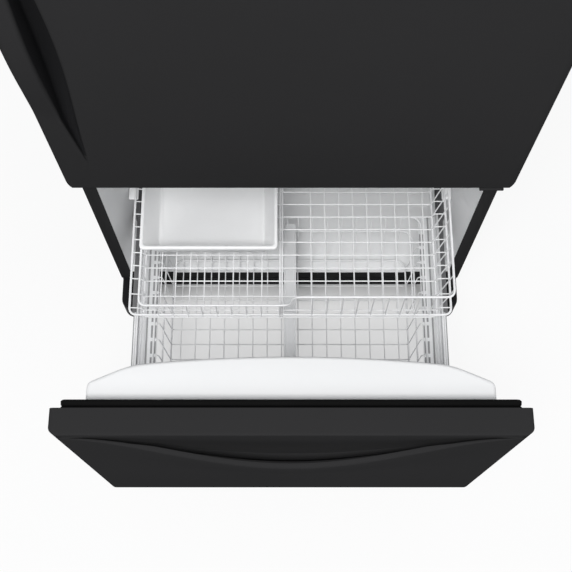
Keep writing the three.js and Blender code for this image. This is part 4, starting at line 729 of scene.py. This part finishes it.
def door_panel():
    """The door's outer panel; the inside of its hand pocket takes the darker black plastic finish as painted
    shade in the deep pocket.
    """
    bm = bmesh.new()
    low, high = end_stations(DOOR_LOW, DOOR_HIGH)
    grip = [GRIP_LOW - 6] + spread(64, GRIP_LOW, GRIP_HIGH) + [GRIP_HIGH + 6]
    stations = low + [790] + grip + [1650] + high
    sweep(bm, [[(x, y, z) for x, y in door_outline(z)] for z in stations])
    # Faces inside the hand pocket get the darker black plastic: painted shade where the pocket's wall lies in
    # shadow.
    for face in bm.faces:
        x, y, z = face.calc_center_median()
        if (RIDGE_X - 8 < x < TIP_X + 20 and PANEL_FRONT + 3 < y < PANEL_BACK - 1
                and GRIP_LOW < z < GRIP_HIGH):
            face.material_index = 1
    skin = stand("door_skin", bm, "door_panel", smooth=38)
    skin.data.materials.append(FINISH["black_plastic"])


def lip_ease(x):
    """The share of the lip and scoop at a place across: 1 in the drawer's middle, 0 near its ends."""
    return (cos(pi * min(1, abs(x) / 410) / 2) ** 2) ** 0.85


def face_y(z):
    """The drawer's face leans back by 10 towards its lower edge."""
    return PANEL_FRONT + 10 * (DRAWER_HIGH - z) / (DRAWER_HIGH - DRAWER_LOW)


def drawer_outline(x):
    """The drawer front cut upright: top edge, hand scoop, lip and the swelling below it, lower edge."""
    curve = edge_curve(HALF - abs(x), UPRIGHT_EDGE, LEVEL_EDGE, DRAWER_CORNER)
    inset, lowest = curve[0][0], curve[-1][1]
    top, bottom = DRAWER_HIGH, DRAWER_LOW
    upper = [(face_y(top - i) + d, top - i) for i, d in curve]
    lower = [(face_y(bottom + i) + d, bottom + i) for i, d in reversed(curve)]

    def on_face(z, proud=0.0):
        return (face_y(z) + lowest - proud, z)

    ease = lip_ease(x)
    inside = smoothstep(396 - abs(x), 0, 40)
    crest = top - 30 - 100 * ease
    lip = 36 * ease
    back = 9 * ease ** 0.3 * inside
    pit = 42 * ease ** 0.6 * inside
    roof = top - LEVEL_EDGE - 3
    wall = 13 * sqrt(ease) * inside + (1 - inside) * lip
    hollow = lip - wall
    scoop = [on_face(roof, 0), on_face(roof - 3, -back * 0.75), on_face(roof - 12, -back),
             on_face(crest + 20, -back), on_face(crest - pit * 0.5, -back * 0.9),
             (on_face(crest - pit * 0.9)[0] - hollow * 0.25 + back * 0.4, crest - pit * 0.92),
             (on_face(crest - pit)[0] - hollow * 0.6, crest - pit),
             (on_face(crest - pit * 0.5)[0] - hollow * 0.96, crest - pit * 0.55 - 0.01),
             (on_face(crest)[0] - hollow, crest - 3 * ease)]
    bend = min(9, lip * 0.6)
    tip = on_face(crest - bend, lip)[0]
    turns = [radians(t) for t in (0, 22.5, 45, 67.5, 90)]
    nose = [(tip + bend * (1 - sin(t)), crest - bend * (1 - cos(t))) for t in turns]
    fade = [on_face(crest - drop, lip * share) for drop, share in LIP_FADE]
    return ([(PANEL_BACK, top - inset)] + upper + scoop + nose + fade + [on_face(bottom + 60)] + lower +
            [(PANEL_BACK, bottom + inset)])


def drawer_panel():
    bm = bmesh.new()
    low, high = end_stations(-HALF, HALF)
    stations = low + [-396, -388] + spread(77, -380, 380) + [388, 396] + high
    sweep(bm, [[(x, y, z) for y, z in drawer_outline(x)] for x in stations])
    stand("drawer_skin", bm, "drawer_front", DRAWER_OUT, smooth=38)


def gasket(name, node, bottom, top, out):
    """The magnetic seal run round a panel: a flat foot, two bellows folds and a rounded strip."""
    margin = 14
    side, low, high = HALF - margin, bottom + margin, top - margin
    rings = []
    inner = [(2 * SEAL_MIDDLE - inset, y) for inset, y in reversed(SEAL_HALF)]
    for inset, y in SEAL_HALF + [(SEAL_MIDDLE, -0.9)] + inner:
        ring = rounded_rectangle(-side + inset, side - inset, low + inset, high - inset,
                                 max(2, 9 - inset * 0.3))
        rings.append([(x, y, z) for x, z in ring])
    bm = bmesh.new()
    sweep(bm, rings, join=True)
    stand(name, bm, node, out, smooth=50)


def inner_door():
    softened("door_liner", 5, segments=4)
    for name in ("door_bin_lower", "door_bin_middle", "dairy_bin", "dairy_lid"):
        softened(name, 1.2, segments=3)


def arch_bow(x):
    """The depth of the bowed wall at a distance from its middle."""
    return 88 - 25 * (x / 366) ** 2


def drawer_inner_wall():
    """The bowed white wall behind the drawer front, its rim rounded over."""
    side = turned([(366, PANEL_BACK), (365.4, 39.4), (289, arch_bow(289)), (240, arch_bow(240))], [10, 30], 6)
    bow = [(x, arch_bow(x)) for x in spread(31, 230, -230)]
    plan = side + bow + [(-x, y) for x, y in reversed(side)]

    def on_rim(e):
        level = abs(e.verts[0].co.z - e.verts[1].co.z) < 1
        return level and max(v.co.y for v in e.verts) > PANEL_BACK + 0.1

    bm = bmesh.new()
    sweep(bm, [[(x, y, z) for x, y in plan] for z in (150, 687)])
    rounded(bm, 7, segments=4, angle=60, choose=on_rim)
    stand("drawer_inner_wall", bm, "drawer_liner", DRAWER_OUT, DRAWER_WALL, smooth=40)


# ---- slides

def ridged_band(x0, x1, z, ridges, height):
    """The top of a strip across X that waves in ridges."""
    count = ridges * 4
    return [(x0 + (x1 - x0) * k / count, z + height * (0.5 - 0.5 * cos(tau * k / 4)))
            for k in range(count + 1)]


def channel(bm, side, outer, low, high):
    """One slide member, an open channel facing the drawer."""
    inner, web = outer - SLIDE_WIDTH, outer - SLIDE_WALL
    profile = turned([(inner, high), (outer, high), (outer, low), (inner, low), (inner, low + SLIDE_WALL),
                      (web, low + SLIDE_WALL), (web, high - SLIDE_WALL), (inner, high - SLIDE_WALL)],
                     [3, 3, 0.4, 0.4, 2, 2], 3)
    draw_along(bm, side, profile)


def slides():
    """On each side the cabinet's member and the middle one, dimpled along their webs, and the drawer's."""
    for side, word in SIDES:
        for layer, kind in ((0, "outer"), (1, "middle")):
            shift = layer * 3.7
            outer = 355.7 - shift
            web = outer - SLIDE_WALL
            bm = bmesh.new()
            channel(bm, side, outer, 266 + shift, 312 - shift)
            row(bm, "y", spread(8, 110, 500), 9, mirrored(side, web - 0.2, web + 0.3), (283, 295), 0.2)
            name = f"slide_{kind}_{word}"
            stand(name + "_rail", bm, name, SLIDE_OUT * layer)
        inner_slide(side, word)


def inner_slide(side, word):
    """The member fixed to the drawer: channel, ridged cover strip, shelf for the basket, bracket; the shelf's
    slots and the grooves are thin grey blocks of painted shade.
    """
    bm = bmesh.new()
    channel(bm, side, 348.3, 273.4, 304.6)
    strip = ridged_band(322, 346, 288.8, 4, 1.9)
    draw_along(bm, side, strip + [(346.6, 288.4), (346.6, 286.4), (321.4, 286.4), (321.4, 288.4)])
    shelf = [(296.3, 286.2), (317.4, 286.2), (317.4, 289.2), (315.6, 290), (299.5, 290), (296.3, 289.2)]
    draw_along(bm, side, shelf)
    block(bm, mirrored(side, 297, 341), (63, 74), (244, 288), 2)
    # Thin grey blocks of painted shade: the slots in the shelf where the basket's loops sit, the groove
    # between shelf and strip, a groove line on the channel's flange and the dark gap at its outer edge.
    painted_shade_from = len(bm.faces)
    for y in [BASKET_LOOPS[0] - LOOP_PITCH] + BASKET_LOOPS:
        block(bm, mirrored(side, 298, 310), (y + 11, y + 39.4), (289.7, 290.3), 0.25, 1)
    for x0, x1, z in ((316.8, 322, 286.7), (342, 342.9, 304.65), (346.2, 348.3, 304.7)):
        block(bm, mirrored(side, x0, x1), SLIDE_SPAN, (z - 0.6, z), 0.1, 1)
    bm.faces.ensure_lookup_table()
    for face in bm.faces[painted_shade_from:]:
        face.material_index = 1
    name = f"slide_inner_{word}"
    rail = stand(name + "_rail", bm, name, DRAWER_OUT, smooth=40)
    rail.data.materials.append(SLOT_SHADOW)


# ---- baskets

def lower_basket():
    """The deep basket: three hoops, bars from front to back, and loops across it and over the slides."""
    floor, band, rim = 150, 248, 292
    front, rear_floor, rear_rim = 98, 482, 535
    floor_half, wall_half, rim_half = 280, 291, 303

    def leaning(z, low, high):
        return low + (high - low) * (z - floor) / (rim - floor)

    bm = bmesh.new()
    for z, half, thickness in ((floor + 1, floor_half, 4), (band, leaning(band, floor_half, wall_half), 4),
                               (rim, rim_half, 5)):
        rear = leaning(z, rear_floor, rear_rim)
        hoop = [(-half, front, z), (half, front, z), (half, rear, z), (-half, rear, z)]
        wire(bm, hoop, thickness, 26, 6, closed=True, sides=10)
    for x in (side * (19.5 + 34 * i) for side in (-1, 1) for i in range(8)):
        bar = [(x, front, rim), (x, front, floor), (x, rear_floor, floor), (x, rear_rim, rim)]
        wire(bm, bar, 2.6, 9)
    for y in BASKET_LOOPS:
        up = y + 6.8
        loop = [(-rim_half, up, rim - 1), (-wall_half, up, rim - 1), (-floor_half, y, floor),
                (floor_half, y, floor), (wall_half, up, rim - 1), (rim_half, up, rim - 1)]
        wire(bm, loop, 2.6, 8)
    stand("lower_basket_wires", bm, "lower_basket", DRAWER_OUT, smooth=60)


def basket_divider():
    """The upright milky wall across the lower basket, ribbed, with hooks over the basket's loops."""
    front, rear_low, rear_high = 106, 474, 519
    low, high, half = 152.1, 291, 14
    bm = bmesh.new()
    profile = [(front, low), (rear_low, low), (rear_high, high), (front, high)]
    sweep(bm, [[(x, y, z) for y, z in profile] for x in (-half, -10.5)])
    for z in (153.6, 290):
        rear = rear_low + (rear_high - rear_low) * (z - low) / 139
        block(bm, (-half, half), (front, rear), (z - 1.5, z + 1.5), 1.2)
    block(bm, (-half, half), (front, 109), (153, high), 1.2)
    row(bm, "y", [front + 390 * share for share in spread(9, 0.08, 0.92)], 1, (-11, 12), (155, 289), 0.6)
    for x in (-half, 10.4):
        block(bm, (x, x + 3.6), (front, 517), (286, 293.6), 1.2)
    for x in (-13, -5):
        rear_hook = [(x, 502, 246), (x, 514, 290), (x, 522, 296), (x, 536, 296), (x, 538, 286)]
        front_hook = [(x, 109, 272), (x, 105, 296), (x, 97, 297), (x, 95, 286)]
        for hook in (rear_hook, front_hook):
            wire(bm, hook, 3, 5)
    stand("basket_divider_wall", bm, "basket_divider", DRAWER_OUT, DIVIDER_PLASTIC)


def upper_basket():
    """The basket that runs on the ledges: deep on the right, low on the left where the ice bin stands."""
    floor, front, rear = 395, 100, 570
    high, low, loop_z = 524, 472, 411
    left, right, runner = -313, 331, 341
    rim = [(right, rear, high), (right, front, high), (8, front, high), (-2, front, low), (left, front, low),
           (left, rear, low), (left, rear, high)]
    support = [(-runner, rear, loop_z), (-runner, front, loop_z), (runner, front, loop_z),
               (runner, rear, loop_z)]
    hoop = [(left, front, floor + 1), (-left, front, floor + 1), (-left, rear, floor + 1),
            (left, rear, floor + 1)]
    bm = bmesh.new()
    wire(bm, rim, 5, 17, 6, closed=True, sides=10)
    wire(bm, support, 5, 17, 6, closed=True, sides=10)
    wire(bm, hoop, 4, 16, 5, closed=True, sides=10)

    def bar(x, top, thickness):
        wire(bm, [(x, front, top), (x, front, floor), (x, rear, floor), (x, rear, high)], thickness, 8)

    for x in [-278 + 31 * i for i in range(8)] + [45.5 + 31 * i for i in range(9)]:
        bar(x, low if x < 0 else high, 2.8)
    for y in [116, 147] + [181.7 + 30.25 * i for i in range(13)]:
        across = [(-runner, y, loop_z), (-318, y, loop_z - 3), (left, y, floor), (-left, y, floor),
                  (right, y, high)]
        wire(bm, across, 2.8, 7)
        wire(bm, [(left, y, floor), (left, y, low)], 2.8)
        wire(bm, [(314, y, loop_z), (runner, y, loop_z)], 2.8)
    for x in (-22, -17):
        bar(x, low, 4)
    stand("upper_basket_wires", bm, "upper_basket", BASKET_OUT, smooth=60)


def ice_bin():
    """A tapered tub with rounded corners and a flat turned-over rim."""
    floor, top = 397.1, 485
    outside = [(31, floor), (25, floor + 5), (5.8, top - 8.4), (1, top - 8), (0, top - 7), (0, top - 1.2),
               (1.2, top)]
    inside = [(5.8, top), (7, top - 1.2), (27, floor + 8), (32, floor + 3.2)]
    bm = bmesh.new()
    sweep(bm, [[(x, y, z) for x, y in
                rounded_rectangle(-316 + inset, -27 - inset, 221 + inset, 541 - inset, 8, 6)]
               for inset, z in outside + inside])
    stand("ice_bin_tub", bm, "ice_bin", BASKET_OUT, BIN_PLASTIC, smooth=45)


# ---- wheels and feet

def roller(node, side, x, y):
    """A wheel: tread with two grooves and rounded shoulders, dished faces, a collar round the bore."""
    height = 20
    half = [(4.3, 9.6), (8, 9.6), (9, 8.6), (10, 6.4), (15.6, 6.4), (16.6, 9.4), (18.4, 10), (20, 8.4),
            (20, 5.2), (19.2, 4.8), (19.2, 3.8), (20, 3.4)]
    profile = [(r, -h) for r, h in half] + [(r, h) for r, h in reversed(half)]
    bm = bmesh.new()
    lathe(bm, profile + profile[:1], (side * x, y, height), "x", 48)
    stand(node + "_wheel", bm, node, smooth=30)


def leveling_leg(node, side):
    """A threaded stud on a round foot, with its hexagon nut."""
    centre = (side * 381, -14, 0)
    thread = [point for i in range(20) for point in ((5, 9.2 + i * 1.3), (4.3, 9.85 + i * 1.3))]
    upper = [(5, 44.2), (5, 52.6), (3.8, 54), (0, 54)]
    foot = [(0, 0), (11, 0), (14, 1.6), (14, 6), (12.5, 8), (6.4, 8.4)]
    nut = [(4.9, 37.9), (7.6, 37.9), (8.5, 38.8), (8.5, 42.7), (7.6, 43.6), (4.9, 43.6), (4.9, 37.9)]
    bm = bmesh.new()
    lathe(bm, foot + thread + upper, centre, "z", 28)
    lathe(bm, nut, centre, "z", 6)
    stand(node + "_stud", bm, node, smooth=28)


# ---- freezer machinery

def blade_section(share):
    """The outline of a fan blade at a share of its length: narrow and steep at the hub, wide at the tip."""
    reach = 14 + 37.5 * share
    chord = (7 + 13 * share) * sqrt(max(0.08, 1 - max(0, share - 0.8) ** 2 * 22))
    pitch = radians(46 - 26 * share)
    ring = []
    for u, v in ((-1, 0), (-0.5, 0.9), (0, 1.25), (0.5, 0.9), (1, 0), (0.5, -0.1), (0, 0.25), (-0.5, -0.1)):
        across, high = u * chord / 2, v + 1.6 * (1 - u * u)
        ring.append((reach, across * cos(pitch) - high * sin(pitch) + share * 4,
                     max(-7, min(7, across * sin(pitch) + high * cos(pitch) - 1.5))))
    return ring


def fan_wheel(node, axis, centre):
    """Six twisted blades with rounded tips round a domed hub."""
    bm = bmesh.new()
    hub = [(3.3, -8), (11, -8), (14.6, -6.6), (16, -4), (16, 6), (15, 7.6), (13, 8), (3.3, 8), (3.3, -8)]
    lathe(bm, hub, (0, 0, 0), "z", 36)
    for turn in (60 * i for i in range(6)):
        before = len(bm.verts)
        sweep(bm, [blade_section(share) for share in spread(9, 0, 1)])
        bm.verts.ensure_lookup_table()
        bmesh.ops.rotate(bm, cent=(0, 0, 0), matrix=Matrix.Rotation(radians(turn), 3, "Z"),
                         verts=bm.verts[before:])
    aim = Matrix.Rotation(pi / 2, 4, "X" if axis == "y" else "Y")
    bmesh.ops.transform(bm, matrix=Matrix.Translation(centre) @ aim, verts=bm.verts)
    stand(node + "_wheel", bm, node, smooth=40)


def evaporator_cover():
    """The panel at the back of the freezer: raised fields with louvres, outlet vanes above, screw heads."""
    bm = copy_of("evaporator_cover", 0.7)
    for x0, x1 in ((-338, -178), (-158, 158), (178, 338)):
        block(bm, (x0, x1), (629.2, 631.4), (238, 600), 2)
        row(bm, "z", spread(7, 262, 470), 2, (x0 + 14, x1 - 14), (628, 629.6), 0.9)
    for x in spread(5, -120, 120):
        row(bm, "z", (630.5, 635, 639.5), 0.8, (x - 21.8, x + 21.8), (630.4, 633.6), 0.5)
    screw = [(0, -2.2), (3.4, -2), (4.6, -0.8), (4.6, 0.4), (0, 0.4)]
    for x in (-330, 330):
        for z in (228, 610, 682):
            lathe(bm, screw, (x, 631, z), "y", 20)
    stand("evaporator_cover_panel", bm, "evaporator_cover", outward=False)


def evaporator():
    """Finned coil: passes of tube joined by round return bends, through close fins and two end plates."""
    half, depth, bulge = 246, 659.7, 9
    rows = spread(4, 269, 464)
    path = []
    for i, z in enumerate(rows):
        side = 1 if i % 2 == 0 else -1
        path += [(-side * half, depth, z), (side * half, depth, z)]
        if z != rows[-1]:
            middle, lift = (z + rows[i + 1]) / 2, (rows[i + 1] - z) / 2
            turns = [radians(t) for t in range(20, 180, 20)]
            path += [(side * (half + bulge * sin(t)), depth, middle - lift * cos(t)) for t in turns]
    bm = bmesh.new()
    wire(bm, path, 9, sides=12)
    row(bm, "x", spread(61, -228, 228), 0.3, (642.4, 679), (256, 477), 0.12)
    row(bm, "x", (-240, 240), 0.9, (641.8, 679.6), (255, 478), 0.4)
    stand("evaporator_coil", bm, "evaporator", smooth=50)


def ice_maker():
    """The mould with its cells, ejector fingers on their shaft and a ribbed control box; the shut-off arm."""
    shaft_x = -262
    bm = copy_of("ice_maker", 1.4, 3)
    row(bm, "y", spread(7, 330, 480), 1, (-314.5, -210.5), (585, 632), 0.7, 2)
    wire(bm, [(shaft_x, 309, 650), (shaft_x, 511, 650)], 8, sides=14)
    for y in spread(8, 322, 492):
        wire(bm, [(shaft_x, y, 650), (-236, y, 652), (-222, y, 644)], 3.4, 8)
    block(bm, (-317, -208), (302, 326), (597, 657), 3, 3)
    row(bm, "z", spread(5, 606, 648), 1.3, (-310, -215), (300.4, 302.4), 0.6)
    stand("ice_maker_unit", bm, "ice_maker", outward=False)

    arm_x = -201
    eye = [(3.3, -1.5), (7, -1.5), (7.5, -1), (7.5, 1), (7, 1.5), (3.3, 1.5), (3.3, -1.5)]
    reach = [(arm_x, 336, 609), (arm_x, 352, 601), (arm_x, 440, 578), (arm_x, 480.5, 568)]
    arm = bmesh.new()
    lathe(arm, eye, (arm_x, 330, 610), "x", 28)
    wire(arm, reach, 2.8, 14, 5, sides=10)
    stand("shut_off_arm", arm, "ice_bail_arm", smooth=40)


# ---- shelves, drawers and controls

def glass_shelf(name, level, node):
    """A clear pane held in a moulded frame with a deeper front edge."""
    bm = bmesh.new()
    outer = rounded_rectangle(-360, 360, *SHELF_SPAN, 7)
    inner = rounded_rectangle(-349, 349, 127, 549, 5)
    sweep(bm, [[(x, y, z) for x, y in outline] for outline, z in
               ((outer, level - 12), (outer, level), (inner, level), (inner, level - 12))], join=True)
    rounded(bm, 1.6, 3, 40)
    block(bm, (-352, 352), (115.6, 121), (level - 11.4, level - 2), 1.4)
    for side in (-1, 1):
        row(bm, "y", (190, 330, 470), 8, mirrored(side, 341, 352), (level - 11.6, level - 9), 0.8)
    stand(name + "_frame", bm, node, slot="white_plastic", replaces=False)
    pane = bmesh.new()
    block(pane, (-352, 352), (124, 552), (level - 8.4, level - 4.4), 0.8)
    stand(name + "_pane", pane, node)


def crispers():
    """Each tray with a pull, three lines across its front and low ribs on its floor; then their cover."""
    for side, word in SIDES:
        node = "crisper_" + word
        bm = copy_of(node, 1.1, 3)
        low, high = mirrored(side, 24, 306)
        block(bm, (low + 40, high - 40), (101.5, 106), (938, 956), 1.8, 3)
        row(bm, "z", (826, 838, 850), 1.6, (low + 16, high - 16), (104, 105.6), 0.7, 2)
        row(bm, "y", spread(6, 160, 440), 1.4, (low + 12, high - 12), (802.8, 804.6), 0.8, 2)
        stand(node + "_tray", bm, node, outward=False)
    softened("crisper_cover", 1.2, segments=3)


def air_tower():
    """The upright duct cover with slats and a hood at each of its outlets."""
    bm = copy_of("air_tower", 2.4, 4, choose=lambda e: min(v.co.y for v in e.verts) < 668)
    for z in spread(5, 1074, 1595.7):
        for side in (-1, 1):
            row(bm, "z", (z - 2.4, z + 2.4), 0.6, mirrored(side, 25.2, 64.8), (665.2, 668.4), 0.4)
            block(bm, mirrored(side, 21, 69), (663.6, 665), (z + 5.6, z + 8), 0.6, 1)
    stand("air_tower_cover", bm, "air_tower", outward=False)


def controls():
    """The control box with its vent ribs and dial marks, the knurled dial and the ribbed lamp lens."""
    dial_x, dial_y, dial_z = 60, 243.7, 1682.7
    housing = copy_of("control_housing", 3, 4)
    row(housing, "x", spread(9, -40, 140), 0.8, (300, 470), (1664.9, 1666.2), 0.4)
    for turn in (radians(t) for t in spread(9, -135, 135)):
        mark = (dial_x + 15.2 * sin(turn), 250, dial_z + 15.2 * cos(turn))
        lathe(housing, [(0, -0.6), (0.8, -0.5), (0.9, 0.3), (0, 0.3)], mark, "y", 12)
    stand("control_box", housing, "control_housing", outward=False)

    dial = bmesh.new()
    knurl = [(13 - 0.55 * (i % 2), tau * i / 72) for i in range(72)]
    sweep(dial, [[(dial_x + r * share * cos(turn), dial_y + h, dial_z + r * share * sin(turn))
                  for r, turn in knurl] for h, share in ((-5.9, 0.9), (-5, 1), (5, 1), (5.9, 0.9))])
    block(dial, (58.5, 61.5), (234.9, 239.5), (1673, 1697.4), 1.1, 3)
    stand("cold_dial", dial, "temperature_dial", smooth=24)

    lens = copy_of("lamp_cover", 1.4, 3)
    row(lens, "x", spread(15, -126, -24), 1, (272, 458), (1654.9, 1656.2), 0.6, 2)
    stand("lamp_lens", lens, "lamp_cover", outward=False)


# ---- machine room

def compressor():
    """Welded shell with its seam, base plate on rubber feet, terminal cover, process and line tubes."""
    x, y, foot = 235, 644, 45
    shell = [(0, 3), (55, 3), (65, 6), (71, 14), (71.6, 52), (74, 53), (74, 57), (71.6, 58), (71, 90),
             (67, 104), (56, 114), (40, 121), (20, 125), (0, 126)]
    grommet = [(0, 0), (7, 0), (9, 1.2), (9, 3.4), (7.4, 4.6), (7.4, 6), (9, 7), (9, 8.6), (5, 14), (0, 14.4)]
    process_tube = [(x - 60, y, foot + 60), (x - 92, y, foot + 60), (x - 105.5, y, foot + 60)]
    line_tube = [(x + 30, y - 30, foot + 110), (x + 34, y - 38, foot + 124), (x + 20, y - 48, foot + 124)]
    bm = bmesh.new()
    lathe(bm, [(r * 72 / 74, foot + z) for r, z in shell], (x, y, 0), "z", 56)
    block(bm, (x - 82, x + 82), (y - 45, y + 45), (foot, foot + 5), 2)
    for i in (-1, 1):
        block(bm, (x - 82, x + 82), sorted((y + i * 45, y + i * 42)), (foot, foot + 9), 1)
        for j in (-1, 1):
            lathe(bm, grommet, (x + i * 72, y + j * 36, 37), "z", 24)
    block(bm, (x - 28, x + 28), (y - 71.5, y - 52), (foot + 22, foot + 78), 5, 3)
    wire(bm, process_tube, 9.6, 10, sides=14)
    wire(bm, line_tube, 6, 8, 5, sides=12)
    stand("compressor_shell", bm, "compressor", smooth=36)


def condenser():
    """Tube bank between two plates: eight passes with return bends, close thin fins."""
    bm = bmesh.new()
    levels = spread(4, 61, 160)
    for depth in (604, 674):
        path = []
        for i, z in enumerate(levels):
            ends = (-299, -91) if i % 2 == 0 else (-91, -299)
            path += [(x, depth, z) for x in ends]
        wire(bm, path[:2] + turned_path(path[2:], 3, 3), 7, sides=10)
    row(bm, "x", spread(45, -288, -102), 0.25, (581, 697), (53.4, 167.6), 0.1)
    row(bm, "x", (-300, -90), 1.4, (574.4, 703.6), (37.2, 170.8), 0.5)
    stand("condenser_bank", bm, "condenser", smooth=50)


def motor_and_pan():
    """The fan motor's cooling ribs, end cap and bracket screws, and the ribbed tray below."""
    motor_y, motor_z = 644, 101
    bm = copy_of("fan_bracket", 0.5, angle=50)
    for turn in (radians(t) for t in range(0, 360, 30)):
        y, z = motor_y + 13.2 * cos(turn), motor_z + 13.2 * sin(turn)
        block(bm, (68.5, 80), (y - 1, y + 1), (z - 1, z + 1), 0.5, 1)
    lathe(bm, [(0, 0), (6, 0), (7.4, 1), (7.4, 2.2), (0, 2.2)], (80.6, motor_y, motor_z), "x", 24)
    for y in (622, 666):
        lathe(bm, [(0, 2.4), (2.6, 2.2), (4, 1), (4, 0), (0, 0)], (80, y, 39.8), "z", 6)
    stand("fan_motor_bracket", bm, "fan_bracket", outward=False)
    pan = copy_of("drain_pan", 0.8)
    row(pan, "x", spread(5, -270, -120), 1, (584, 694), (38.8, 40.4), 0.5)
    stand("drain_tray", pan, "drain_pan", outward=False)


# ---- running order

set_camera()
bpy.context.scene.view_settings.view_transform = "Standard"
light_world()
ground = bmesh.new()
bmesh.ops.create_grid(ground, x_segments=1, y_segments=1, size=14)
floor_sheet = mesh_object("floor", ground)
floor_sheet.data.materials.append(pale_floor())
soft_lamp("front_overhead", place=(-0.6, -2.5, 5.5), target=(0, -0.3, 0.4), size=(2.2, 1.5), watts=196)
soft_lamp("overhead", place=(0.1, -0.85, 4.6), target=(0, -0.3, 0.3), size=(2.0, 1.0), watts=24)
soft_lamp("front_fill", place=(1.2, -3.1, 3.3), target=(-0.1, -0.2, 0.4), size=(1.6, 1.2), watts=16)

cabinet_pieces()
back_sheets()
liners()
door_panel()
drawer_panel()
gasket("door_seal", "door_gasket", DOOR_LOW, DOOR_HIGH, 0)
gasket("drawer_seal", "drawer_gasket", DRAWER_LOW, DRAWER_HIGH, DRAWER_OUT)
inner_door()
drawer_inner_wall()
slides()
lower_basket()
basket_divider()
upper_basket()
ice_bin()
for side, word in SIDES:
    roller("front_roller_" + word, side, 352, 60)
    roller("rear_roller_" + word, side, 380, 690)
    leveling_leg("leveling_leg_" + word, side)
fan_wheel("evaporator_fan", "y", (0, 653, 560))
fan_wheel("condenser_fan", "x", (40, 644, 101))
evaporator_cover()
evaporator()
ice_maker()
for word, level in SHELF_LEVELS.items():
    glass_shelf("shelf_" + word, level, "glass_shelf_" + word)
crispers()
air_tower()
controls()
compressor()
condenser()
motor_and_pan()
softened("foam_insulation", 1.5)

# A node that no piece replaces is seen itself, in the finish of its slot.
for node, obj in frame["nodes"].items():
    if not obj.hide_render:
        obj.data.materials.clear()
        obj.data.materials.append(FINISH[SLOTS[node]])
